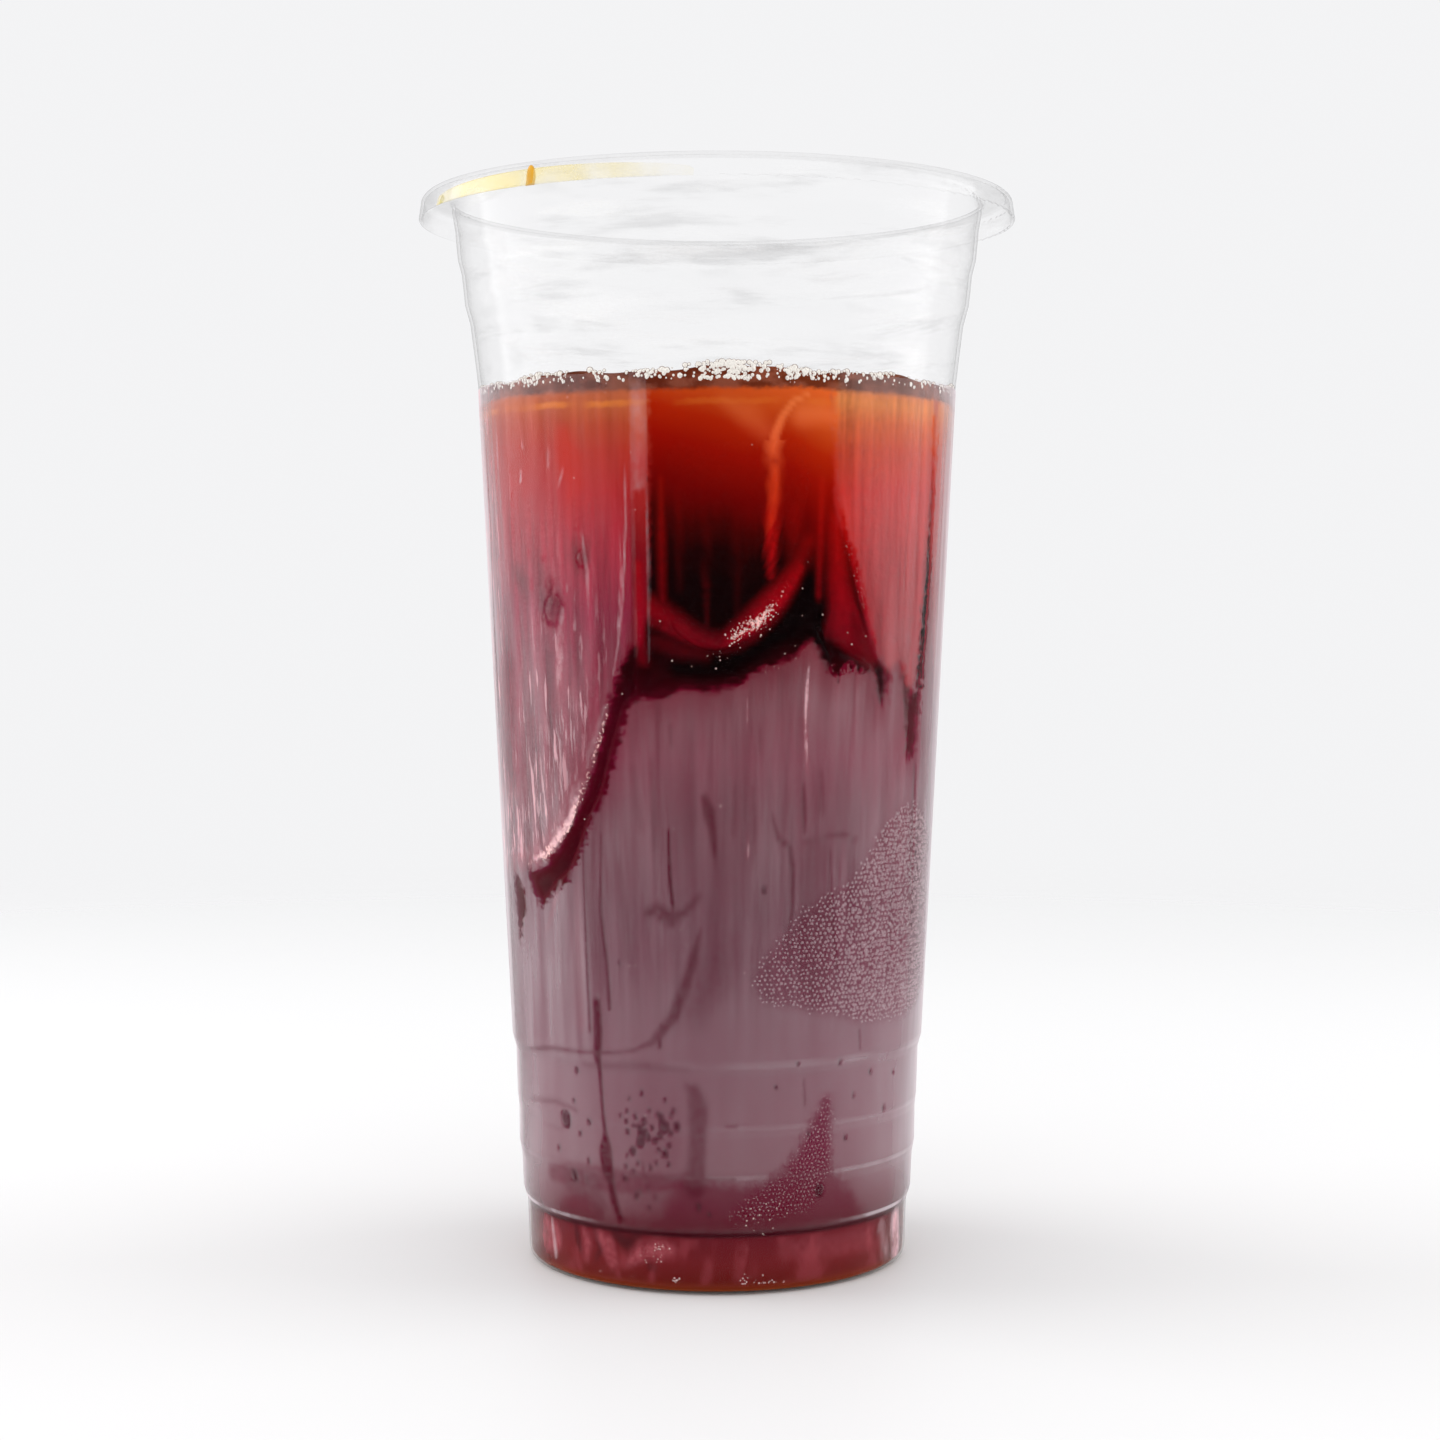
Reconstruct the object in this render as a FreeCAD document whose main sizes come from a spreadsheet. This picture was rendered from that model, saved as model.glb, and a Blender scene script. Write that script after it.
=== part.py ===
"""A clear plastic cold cup filled with iced americano, as a parametric FreeCAD document.

The cup is thermoformed from one sheet, so it is a thin shell of revolution about Z. From the table up it has
a foot with a pushed-up floor, three stacking ribs, a long tapering wall, a neck that widens over three ledges,
and a rolled lip that a lid snaps over. The drink fills the same cavity up to its level.
Lengths are in millimetres. The origin is the middle of the foot, on the table, and +Z is up.
"""
import FreeCAD
import Part
import os
import re

import Sketcher

SHEET = "Sizes"

# Driving dimensions: alias, value, meaning.
SIZES = [
    ("cup_height", 174.5, "table to the top of the lip"),
    ("wall", 0.5, "thickness of the formed sheet"),
    ("punt_height", 3.0, "rise of the pushed-up floor above the table"),
    ("foot_radius", 31.35, "outside of the foot just above its corner"),
    ("foot_corner", 1.5, "corner radius between the wall and the table"),
    ("foot_ring", 1.8, "width of the ring that stands on the table"),
    ("punt_slope", 4.55, "width of the slope from that ring up to the flat middle of the floor"),
    ("step_rise", 2.2, "height of each sloping step in the stacking ribs"),
    ("foot_height", 9.5, "table to the bottom of the first step"),
    ("foot_taper", 0.27, "growth in radius up the foot"),
    ("foot_step", 0.65, "growth in radius at the first step"),
    ("lower_face", 5.5, "height of the face above the first step"),
    ("lower_taper", 0.25, "growth in radius up that face"),
    ("lower_step", 0.4, "growth in radius at the second step"),
    ("middle_face", 5.6, "height of the face above the second step"),
    ("middle_taper", 0.05, "growth in radius up that face"),
    ("middle_step", 0.25, "growth in radius at the third step"),
    ("upper_face", 7.7, "height of the face above the third step"),
    ("upper_taper", 0.23, "growth in radius up that face"),
    ("upper_step", 0.6, "growth in radius at the fourth step, where the long wall starts"),
    ("wall_growth", 5.4, "growth in radius up the long wall"),
    ("neck_depth", 30.5, "top of the lip down to the start of the neck"),
    ("grip_rise", 4.3, "height of the soft swelling at the start of the neck"),
    ("grip_growth", 0.5, "growth in radius over that swelling"),
    ("ledge_lead", 0.7, "growth in radius between the swelling and the main ledge"),
    ("ledge_depth", 20.7, "top of the lip down to the bottom of the main ledge"),
    ("ledge_rise", 3.4, "height of the main ledge"),
    ("ledge_growth", 0.9, "growth in radius over the main ledge"),
    ("collar_lead", 0.5, "growth in radius between the main ledge and the collar"),
    ("collar_depth", 12.5, "top of the lip down to the bottom of the collar's ledge"),
    ("collar_rise", 2.6, "height of the collar's ledge"),
    ("collar_growth", 0.65, "growth in radius over the collar's ledge"),
    ("throat_lead", 0.4, "growth in radius between the collar and the throat"),
    ("throat_depth", 5.3, "top of the lip down to the start of the throat"),
    ("throat_rise", 3.0, "height over which the throat opens"),
    ("throat_growth", 0.5, "growth in radius over the throat"),
    ("throat_roll", 1.5, "inside radius where the wall turns out into the lip"),
    ("lip_width", 5.4, "overhang of the lip past the throat"),
    ("lip_bend", 1.3, "outside radius where the lip turns down into its skirt"),
    ("lip_flare", 0.35, "growth in radius down the lip's skirt"),
    ("lip_drop", 3.6, "top of the lip down to the middle of its rounded edge"),
    ("fill_depth", 32.0, "top of the lip down to the surface of the drink"),
    ("cut_over", 1.0, "how far the tools are carried past the lip for a clean cut"),
]


def make_sheet(doc):
    """The spreadsheet that holds the driving dimensions, one row each."""
    sheet = doc.addObject("Spreadsheet::Sheet", SHEET)
    for row, (alias, value, meaning) in enumerate(SIZES, start=1):
        sheet.set(f"A{row}", alias)
        sheet.set(f"B{row}", str(value))
        sheet.setAlias(f"B{row}", alias)
        sheet.set(f"C{row}", meaning)
    doc.recompute()
    return sheet


def bound(text):
    """An expression written with bare aliases, with each alias qualified by the sheet's name."""
    return re.sub(r"[a-z]+(?:_[a-z]+)*", lambda found: f"{SHEET}.{found.group()}", text)


def plus(*terms):
    """The sum of some expressions, each kept whole in brackets."""
    return " + ".join(f"({term})" for term in terms)


def wall_stations():
    """Radius and height of each corner of the outside of the wall, from the foot to the throat, as expressions."""
    radii, heights = ["foot_radius"], ["foot_corner"]

    def climb(growth, height):
        radii.append(plus(radii[-1], growth))
        heights.append(height)

    step_foot = "foot_height"
    climb("foot_taper", step_foot)
    for step, face, taper in (
        ("foot_step", "lower_face", "lower_taper"),
        ("lower_step", "middle_face", "middle_taper"),
        ("middle_step", "upper_face", "upper_taper"),
    ):
        climb(step, plus(step_foot, "step_rise"))
        step_foot = plus(step_foot, "step_rise", face)
        climb(taper, step_foot)
    climb("upper_step", plus(step_foot, "step_rise"))
    climb("wall_growth", "cup_height - neck_depth")
    climb("grip_growth", "cup_height - neck_depth + grip_rise")
    for name in ("ledge", "collar", "throat"):
        climb(f"{name}_lead", f"cup_height - {name}_depth")
        climb(f"{name}_growth", f"cup_height - {name}_depth + {name}_rise")
    return list(zip(radii, heights))


def floor_radii():
    """Radii of the floor's flat middle, of the inside of the standing ring and of its outside, as expressions."""
    outside = "foot_radius - foot_corner"
    inside = plus(outside, "-foot_ring")
    return plus(inside, "-punt_slope"), inside, outside


def outer_outline(stations):
    """The closed half section of the cup's outside, filled to the axis. Each entry is a corner, the radius of the
    arc that leads to it (None for a straight side) and the arc's turn, 1 for anticlockwise."""
    throat = stations[-1][0]
    rim = plus(throat, "lip_width")
    skirt = plus(rim, "-lip_flare")
    bend = plus(skirt, "-lip_bend")
    bend_height = "cup_height - lip_bend"
    edge = "cup_height - lip_drop"
    middle, ring_inside, ring_outside = floor_radii()
    outline = [
        ("0", "punt_height", None, 0),
        (middle, "punt_height", None, 0),
        (ring_inside, "0", None, 0),
        (ring_outside, "0", None, 0),
        (*stations[0], "foot_corner", 1),
    ]
    outline += [(*station, None, 0) for station in stations[1:]]
    outline += [
        (throat, "cup_height - throat_roll", None, 0),
        (plus(throat, "throat_roll", "-wall"), "cup_height - wall", "throat_roll - wall", -1),
        (bend, "cup_height - wall", None, 0),
        (plus(skirt, "-wall"), bend_height, "lip_bend - wall", -1),
        (plus(rim, "-wall"), edge, None, 0),
        (rim, edge, "wall / 2", 1),
        (skirt, bend_height, None, 0),
        (bend, "cup_height", "lip_bend", 1),
        ("0", "cup_height", None, 0),
    ]
    return outline


def cavity_outline(stations):
    """The closed half section of the room inside the cup: the outside moved in by the wall, with the same rolled
    top, carried straight up past the lip."""
    throat = plus(stations[-1][0], "-wall")
    opening = plus(throat, "throat_roll")
    over = "cup_height + cut_over"
    middle, ring_inside, ring_outside = floor_radii()
    outline = [
        ("0", "punt_height + wall", None, 0),
        (middle, "punt_height + wall", None, 0),
        (ring_inside, "wall", None, 0),
        (ring_outside, "wall", None, 0),
        (plus(stations[0][0], "-wall"), stations[0][1], "foot_corner - wall", 1),
    ]
    outline += [(plus(radius, "-wall"), height, None, 0) for radius, height in stations[1:]]
    outline += [
        (throat, "cup_height - throat_roll", None, 0),
        (opening, "cup_height", "throat_roll", -1),
        (opening, over, None, 0),
        ("0", over, None, 0),
    ]
    return outline


def side(start, end, radius, turn):
    """A straight side from start to end, or the shorter arc of that radius between them."""
    if radius is None:
        return Part.LineSegment(start, end)
    middle = (start + end) * 0.5
    half_chord = (end - start).Length / 2
    inward = FreeCAD.Vector(start.y - end.y, end.x - start.x, 0).normalize() * turn
    sag = radius - max(radius**2 - half_chord**2, 0.0) ** 0.5
    return Part.Arc(start, middle - inward * sag, end)


def revolved_body(doc, name, sheet, outline):
    """A PartDesign body turned about Z from a closed outline whose corners are all bound to the sheet."""
    body = doc.addObject("PartDesign::Body", name)
    sketch = body.newObject("Sketcher::SketchObject", name + "_section")
    plane = next(item for item in body.Origin.OriginFeatures if item.Role == "XZ_Plane")
    sketch.AttachmentSupport = [(plane, "")]
    sketch.MapMode = "FlatFace"

    def value(text):
        return float(sheet.evalExpression(bound(text)))

    corners = [FreeCAD.Vector(value(x), value(z), 0) for x, z, _, _ in outline]
    ends = []
    for index, (_, _, radius, turn) in enumerate(outline):
        size = None if radius is None else value(radius)
        edge = sketch.addGeometry(side(corners[index - 1], corners[index], size, turn), False)
        ends.append((edge, 2, 1) if turn < 0 else (edge, 1, 2))
    for index, (x, z, radius, _) in enumerate(outline):
        edge, first, last = ends[index]
        next_edge, next_first, _ = ends[(index + 1) % len(ends)]
        sketch.addConstraint(Sketcher.Constraint("Coincident", edge, last, next_edge, next_first))
        tie(sketch, Sketcher.Constraint("DistanceX", -1, 1, edge, last, value(x)), x)
        tie(sketch, Sketcher.Constraint("DistanceY", -1, 1, edge, last, value(z)), z)
        if radius == "wall / 2":
            sketch.addConstraint(Sketcher.Constraint("Horizontal", edge, 3, edge, last))
        elif radius is not None:
            tie(sketch, Sketcher.Constraint("Radius", edge, value(radius)), radius)
    turned = body.newObject("PartDesign::Revolution", name + "_turned")
    turned.Profile = sketch
    turned.ReferenceAxis = (sketch, ["V_Axis"])
    turned.Angle = 360
    doc.recompute()
    return body


def tie(sketch, constraint, text):
    """Adds a dimension and binds it to its expression."""
    number = sketch.addConstraint(constraint)
    sketch.setExpression(f"Constraints[{number}]", bound(text))


def drink_level(doc, rim):
    """A cylinder, wider than the cup, whose top is the surface of the drink."""
    level = doc.addObject("Part::Cylinder", "level")
    level.setExpression("Radius", bound(plus(rim, "cut_over")))
    level.setExpression("Height", bound("cup_height - fill_depth"))
    return level


def named_part(doc, kind, name, base, tool):
    """A boolean of two shapes, labelled as the sub-part whose file it becomes."""
    part = doc.addObject(kind, name)
    part.Base = base
    part.Tool = tool
    part.Label = name
    part.Placement = FreeCAD.Placement()
    return part


def check(doc, parts):
    """Stops the build if any object failed or a sub-part isn't one sound solid."""
    for item in doc.Objects:
        if "Invalid" in item.State or "Error" in item.State:
            raise RuntimeError(f"{item.Name} failed to compute: {item.State}")
    for part in parts:
        shape = part.Shape
        if shape.isNull() or not shape.isValid() or len(shape.Solids) != 1:
            raise RuntimeError(f"{part.Label} is not one valid solid")
        box = shape.BoundBox
        print(f"{part.Label}: {shape.Volume:.1f} mm3, {box.XLength:.2f} x {box.YLength:.2f} x {box.ZLength:.2f} mm")


doc = FreeCAD.newDocument("iced_americano")
sheet = make_sheet(doc)
stations = wall_stations()
form = revolved_body(doc, "cup_form", sheet, outer_outline(stations))
cavity = revolved_body(doc, "cavity_form", sheet, cavity_outline(stations))
cup = named_part(doc, "Part::Cut", "cup", form, cavity)
coffee = named_part(doc, "Part::Common", "coffee", cavity, drink_level(doc, plus(stations[-1][0], "lip_width")))
doc.recompute()
check(doc, [cup, coffee])

os.makedirs("parts", exist_ok=True)
for part in (cup, coffee):
    part.Shape.exportStep(f"parts/{part.Label}.step")
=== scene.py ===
"""An iced americano in a clear plastic cold cup, dressed over its CAD frame. Lengths are metres unless a
name ends in mm. The cup's axis is Z, its front is towards -Y, and a turn is degrees from the front."""

import bmesh
import bpy
import math
import numpy as np
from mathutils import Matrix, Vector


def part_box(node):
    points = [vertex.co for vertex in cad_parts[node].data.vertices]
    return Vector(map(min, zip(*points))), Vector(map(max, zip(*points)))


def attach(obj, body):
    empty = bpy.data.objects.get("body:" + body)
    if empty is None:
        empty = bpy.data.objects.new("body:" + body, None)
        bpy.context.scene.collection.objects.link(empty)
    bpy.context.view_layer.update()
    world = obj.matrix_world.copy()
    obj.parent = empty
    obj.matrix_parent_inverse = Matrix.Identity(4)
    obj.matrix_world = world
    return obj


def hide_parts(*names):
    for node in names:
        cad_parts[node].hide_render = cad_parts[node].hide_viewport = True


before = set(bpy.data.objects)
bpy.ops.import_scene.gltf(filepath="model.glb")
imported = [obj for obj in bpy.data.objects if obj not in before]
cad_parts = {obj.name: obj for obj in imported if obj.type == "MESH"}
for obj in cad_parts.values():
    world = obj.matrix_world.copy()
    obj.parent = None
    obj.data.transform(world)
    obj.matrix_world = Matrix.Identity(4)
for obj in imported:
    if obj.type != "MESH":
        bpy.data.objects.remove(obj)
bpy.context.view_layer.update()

# The cup. It is drawn from one clear PET sheet, so it is thin and even, and nearly unseen but for a grey
# edge painted where the eye looks along the sheet, the gloss on its ledges and a little haze in the neck,
# white in patches as painted reflection.


class Wire:
    """An output socket of a material's node tree, on which arithmetic is written as on a number."""

    def __init__(self, tree, socket=None):
        self.tree = tree
        self.socket = socket

    def node(self, kind, settings=None, inputs=None, output=0):
        """A new node of that type: its settings first, a ramp's stops among them, then its sockets."""
        made = self.tree.nodes.new(kind)
        for name, value in (settings or {}).items():
            if name == "stops":
                ramp = made.color_ramp
                while len(ramp.elements) < len(value):
                    ramp.elements.new(0.5)
                for element, (place, colour) in zip(ramp.elements, value):
                    element.position = place
                    element.color = (*colour, 1.0)
            else:
                setattr(made, name, value)
        for name, value in (inputs or {}).items():
            if isinstance(value, Wire):
                self.tree.links.new(value.socket, made.inputs[name])
            else:
                made.inputs[name].default_value = value
        return Wire(self.tree, made.outputs[output] if made.outputs else None)

    def maths(self, operation, *terms):
        return self.node("ShaderNodeMath", {"operation": operation}, dict(enumerate(terms)))

    def __add__(self, other):
        return self.maths("ADD", self, other)

    def __sub__(self, other):
        return self.maths("SUBTRACT", self, other)

    def __mul__(self, other):
        return self.maths("MULTIPLY", self, other)

    def __truediv__(self, other):
        return self.maths("DIVIDE", self, other)

    def __pow__(self, other):
        return self.maths("POWER", self, other)

    def __rsub__(self, other):
        return self.maths("SUBTRACT", other, self)

    def __rpow__(self, other):
        return self.maths("POWER", other, self)

    def __rtruediv__(self, other):
        return self.maths("DIVIDE", other, self)

    __radd__ = __add__
    __rmul__ = __mul__

    def ease(self, low, high):
        """0 below low and 1 above high, eased between; a low above high turns it round."""
        settings = {"interpolation_type": "SMOOTHSTEP", "clamp": True}
        return self.node("ShaderNodeMapRange", settings, {"Value": self, "From Min": low, "From Max": high})

    def size(self):
        return self.maths("ABSOLUTE", self)

    def at_most(self, other):
        return self.maths("MINIMUM", self, other)

    def at_least(self, other):
        return self.maths("MAXIMUM", self, other)

    def ramp(self, *stops):
        """A colour read from stops of place and colour, in rising order."""
        low, high = stops[0][0], stops[-1][0]
        places = [((place - low) / (high - low), colour) for place, colour in stops]
        return self.node("ShaderNodeValToRGB", {"stops": places}, {0: (self - low) / (high - low)})

    def mixed(self, first, second):
        """Colour first where this is 0 and second where it is 1."""
        values = {0: self}
        for slot, colour in ((6, first), (7, second)):
            values[slot] = colour if isinstance(colour, Wire) else (*colour, 1.0)
        return self.node("ShaderNodeMix", {"data_type": "RGBA"}, values, 2)

    def scaled(self, amount):
        """This colour made brighter or darker by a number."""
        return self.node("ShaderNodeVectorMath", {"operation": "SCALE"}, {0: self, 3: amount})

    def speckle(self, scale, detail=2.0, rough=0.5, stretch=(1.0, 1.0, 1.0)):
        """Soft noise about 0.5 on this wire's coordinates, each axis scaled by stretch."""
        place = self.node("ShaderNodeMapping", None, {"Vector": self, "Scale": stretch})
        values = {"Vector": place, "Scale": scale, "Detail": detail, "Roughness": rough}
        return self.node("ShaderNodeTexNoise", None, values)

    def attribute(self, name):
        return self.node("ShaderNodeAttribute", {"attribute_name": name}, None, 2)

    def head_on(self, **normal):
        """The cosine of the angle at which the eye meets the surface, or a surface with that Normal."""
        return 1.0 - self.node("ShaderNodeLayerWeight", None, {"Blend": 0.5, **normal}, 1)

    def over(self, under, shader):
        """Shader laid on the shader under it, as much as this says."""
        return self.node("ShaderNodeMixShader", None, {0: self, 1: under, 2: shader})

    def clear(self, tint=(1.0, 1.0, 1.0)):
        return self.node("ShaderNodeBsdfTransparent", None, {"Color": (*tint, 1.0)})

    def body(self, colour, roughness, ior=1.45, specular=0.5, **links):
        """A solid finish. Links are for Normal, which varies over the surface."""
        colour = colour if isinstance(colour, Wire) else (*colour, 1.0)
        values = {"Base Color": colour, "Roughness": roughness, "IOR": ior, "Specular IOR Level": specular}
        values.update(links)
        return self.node("ShaderNodeBsdfPrincipled", None, values)


def material(name):
    """A new material with an empty node tree: the material, a bare wire, object coordinates and the height
    in mm."""
    made = bpy.data.materials.new(name)
    made.use_nodes = True
    made.node_tree.nodes.clear()
    wire = Wire(made.node_tree)
    spot = wire.node("ShaderNodeTexCoord", None, None, 3)
    height = wire.node("ShaderNodeSeparateXYZ", None, {0: spot}, 2) * 1000.0
    return made, wire, spot, height


def finish(made, shader):
    """Ends the material in that shader."""
    shader.node("ShaderNodeOutputMaterial", None, {"Surface": shader})
    return made


def clear_sheet():
    """Clear PET: see-through, mirroring little head on and more along the edge, with a painted grey cast at
    the edge and faint uneven smears in the neck, white in patches as painted reflection."""
    made, wire, spot, height = material("clear_pet")
    slant = wire.head_on()
    neck = height.ease(142.5, 147.0)
    # Painted reflection and shade: the neck's smears and haze show a dull coat, white in patches where soft
    # light would be mirrored, and the grey cast along the edge is painted shade.
    smears = spot.speckle(32.0, 4.0, 0.62, (1.0, 1.0, 8.0)).ease(0.5, 0.68) * 0.13
    fogged = spot.speckle(75.0, 2.0, 0.5, (1.0, 1.0, 2.0)).ease(0.55, 0.75) * 0.07
    edge = (1.0 - slant) ** 4.0
    patches = spot.speckle(40.0, 3.0, 0.5, (1.0, 1.0, 7.0)).ease(0.4, 0.54)
    outline = edge ** 2.4 * (1.0 - neck) + edge ** 3.4 * neck
    cast = ((smears + fogged + 0.006) * neck + outline * 0.7).at_most(0.9)
    patches = patches * (1.0 - (edge * 3.0).at_most(1.0))
    dull = wire.body(patches.mixed((0.38, 0.38, 0.385), (1.0, 1.0, 1.0)), 0.4, 1.3, 0.1)
    shine = wire.node("ShaderNodeBsdfGlossy", None, {"Color": (1.0, 1.0, 1.0, 1.0), "Roughness": 0.05})
    mirrored = (edge * (1.0 - slant) * 0.35 + 0.0007).at_most(1.0)
    return finish(made, mirrored.over(cast.over(wire.clear(), dull), shine))


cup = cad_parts["cup"]
cup.data.materials.clear()
cup.data.materials.append(clear_sheet())
cup.visible_shadow = False
TURN_MM = 1.45  # what counts as wall is above the foot's rounded turn,
SKIRT_FOOT_MM = 170.0  # below the lip's skirt,
FLOOR_MM = 30.5  # and further out than the floor


def vertices_mm(mesh):
    """The x, y and z of a mesh's vertices in mm, as three rows."""
    flat = np.empty(len(mesh.vertices) * 3, np.float32)
    mesh.vertices.foreach_get("co", flat)
    return flat.reshape(-1, 3).T * 1000.0


def wall_rings():
    """Height, outside and inside radius at each ring of the CAD wall, in mm, from its foot to its lip."""
    x, y, z = vertices_mm(cup.data)
    radius, height = np.hypot(x, y), np.round(z, 1)
    wall = (z > TURN_MM) & (z < SKIRT_FOOT_MM) & (radius > FLOOR_MM)
    radius, height = radius[wall], height[wall]
    rings = np.unique(height)
    outside = [radius[height == ring].max() for ring in rings]
    inside = [radius[height == ring].min() for ring in rings]
    return rings, np.array(outside), np.array(inside)


ring_mm, outside_mm, inside_mm = wall_rings()


def wall_out(height):
    """Outside radius of the wall at a height, both in mm."""
    return np.interp(height, ring_mm, outside_mm)


def wall_in(height):
    """Inside radius of the wall at a height, both in mm."""
    return np.interp(height, ring_mm, inside_mm)


# The drink. Black coffee, thinned by melting ice, fills the cup to its level and wets the wall, so its skin
# lies inside the sheet. Deep coffee is nearly black, thin coffee red, and light from above makes it orange;
# that red and orange light is painted into the coffee's colour, and the shade under the ice painted black.

level_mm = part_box("coffee")[1].z * 1000.0
ROUND_MM = 36.5  # radius at which degrees round the cup are turned into mm
SKIN_MM = 0.2  # how far the drink reaches into the wall
HOLLOW_MM = 2.4  # depth of the shaded hollows under the ice

# Outlines and lines are corners of degrees round the cup and mm above the table.
FRONT_WINDOW = [
    (-15.8, 146), (-15.8, 113), (-17, 106), (-19.5, 101.5), (-21.5, 97), (-21, 93.5), (-15, 93.2), (-8, 95),
    (0, 94.8), (6, 96), (9, 97.6), (15, 98.8), (19, 100.3), (23.5, 102.8), (26.3, 100), (27.3, 97.6),
    (29.3, 97.2), (31, 99.4), (36, 98.2), (41, 97.2), (43, 94.8), (44.6, 92), (46, 96.3), (44, 99),
    (41, 102), (39, 105.5), (37, 109), (34.5, 113.5), (32, 117), (30, 120), (28.5, 123.5), (27.5, 131),
    (27, 146),
]
LEFT_SHADE = [
    (-19, 103), (-23, 99), (-26.5, 92.5), (-30, 86), (-34, 79.3), (-38.5, 74.3), (-44, 69.6), (-50, 66.2),
    (-55, 65), (-58.5, 65.8), (-56, 63), (-51.8, 60.3), (-47, 62.9), (-41, 65.2), (-37.5, 68.6),
    (-33, 74.3), (-29, 78.4), (-25, 86.5), (-22, 92), (-18, 94),
]
RIGHT_STROKE = [
    (51, 98.5), (54, 92.5), (56, 88), (57, 84), (60, 83.6), (61.3, 91), (62.3, 100), (63.6, 110), (64, 125),
    (63, 137), (62.2, 137), (62.6, 125), (62.3, 112), (61.2, 103), (59.8, 94.5), (57, 92.3), (54.3, 96),
]
LEFT_DRIP = [(-67, 64.5), (-64, 63), (-61, 62), (-60.6, 59), (-63.5, 57), (-65.5, 54)]
LEFT_ICE = [
    (-100, 146), (-100, 61), (-86, 61), (-76, 63), (-66, 65.3), (-57, 65.6), (-50, 67), (-43, 71),
    (-37.5, 76), (-33, 81), (-29, 87.5), (-25.5, 94.5), (-22, 101), (-20, 107), (-19.6, 120), (-19.6, 146),
]
MIDDLE_ICE = [
    (-15.5, 146), (-16, 111), (-12, 104.6), (-6, 101.6), (0, 100.6), (6, 101.6), (12, 104.2), (17, 108),
    (21.5, 113.5), (25.5, 121), (26, 146),
]
RIGHT_ICE = [
    (27.4, 146), (28, 126), (30.4, 120.2), (34.8, 113.8), (39.3, 105.8), (42, 101.8), (46, 97.8),
    (50.5, 98.6), (54.5, 94), (59.5, 95.5), (61.8, 103), (62.4, 118), (62, 146),
]
SIDE_ICE = [(66, 146), (65.5, 118), (69, 104), (76, 93), (85, 87.5), (100, 86), (100, 146)]

# Strokes are a strength, a softness in mm, and a line whose corners also give half its width in mm.
# Red strokes are painted light: the lit lower rims of the ice, and red streaks where light comes through.
RED_STROKES = [
    (0.55, 1.9, [(-15.8, 107.2, 1.5), (-12, 105.5, 1.5), (-8.5, 104, 1.3), (-5, 102.8, 1),
        (-1.5, 102.1, 0.8), (2, 102.1, 0.8), (5, 103, 1.2)]),
    (0.62, 0.8, [(-15.8, 105, 0.2), (-12, 103.9, 0.4), (-8, 102.7, 0.5), (-4, 101.8, 0.5), (0, 101.4, 0.4),
        (3, 101.7, 0.4)]),
    (0.7, 1.6, [(2, 102.2, 0.8), (5, 103.2, 1.3), (8, 104.5, 1.7), (11, 106.4, 1.8), (14, 108.8, 1.5),
        (17, 111.5, 1), (19.5, 114.2, 0.4)]),
    (0.4, 1.6, [(17, 111.5, 0.9), (19.5, 114.2, 0.8), (21.8, 117.5, 0.6)]),
    (0.92, 0.9, [(2, 101.9, 0.4), (5, 102.8, 0.7), (8.5, 104.1, 0.9), (12, 106.1, 0.9), (15, 108.3, 0.8),
        (18, 111, 0.5), (20, 113.4, 0.3)]),
    (0.22, 1.5, [(-15, 102, 1), (-9, 100.8, 1), (-3, 100, 0.5)]),
    (0.34, 0.8, [(-12.8, 127, 0.1), (-12.9, 118, 0.6), (-12.8, 107, 0.4)]),
    (0.07, 0.8, [(-8.6, 126, 0.2), (-8.8, 117, 0.5), (-8.8, 110, 0.2)]),
    (0.12, 0.5, [(-2.5, 121, 0.1), (-2.4, 113, 0.3), (-2.3, 104, 0.2)]),
    (0.06, 0.8, [(4.6, 121, 0.1), (4.8, 113, 0.4), (4.8, 107, 0.2)]),
    (0.22, 1.2, [(18, 122, 0.8), (18.5, 114, 0.4)]),
    (0.5, 0.5, [(29.5, 118, 0.2), (31.5, 112, 0.5), (33.5, 106, 0.4), (34, 102.5, 0.2)]),
    (0.45, 0.4, [(27.5, 116, 0.2), (28.5, 108, 0.4), (29, 103, 0.2)]),
    (0.45, 0.7, [(24.9, 127, 0.2), (24.8, 118, 0.5), (24.7, 109, 0.3)]),
    (0.55, 0.7, [(-18.6, 114, 0.5), (-18.4, 106, 0.8), (-18.2, 99, 0.5)]),
    (0.85, 0.7, [(12.8, 123, 0.8), (12.8, 117, 0.7), (12.6, 112, 0.2)]),
    (0.62, 1.8, [(28.8, 121, 0.5), (30, 112, 1.6), (32.5, 105, 2.2), (37, 102, 1.8), (41, 99.5, 1)]),
    (0.5, 0.6, [(33.5, 109, 0.5), (37, 104.5, 0.6), (40, 100.5, 0.5)]),
    (0.6, 0.7, [(28.6, 124, 0.2), (32.6, 117, 0.6), (36.2, 111, 0.8), (39.6, 105.4, 0.8), (43, 100.2, 0.5)]),
    (0.6, 1.2, [(-38, 134, 1.4), (-36.5, 130, 2.4), (-35, 126.5, 1.6), (-37, 123, 0.6)]),
]
# Orange strokes are painted glow, where light from above comes through the coffee.
ORANGE_STROKES = [
    (0.9, 0.4, [(21, 139.8, 0.2), (17.5, 138.6, 0.4), (14.9, 136.3, 0.5), (13.2, 133.5, 0.7),
        (12.9, 130, 0.6)]),
    (0.75, 0.6, [(13.1, 133, 0.5), (13.3, 127, 0.8), (12.9, 120, 0.3)]),
    (0.6, 1.6, [(20, 136.6, 1.6), (24, 136.8, 1.4), (27, 136.5, 1)]),
    (0.35, 1.6, [(2, 138.5, 0.6), (7, 136.5, 1.6), (11, 134, 1.2)]),
]
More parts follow.
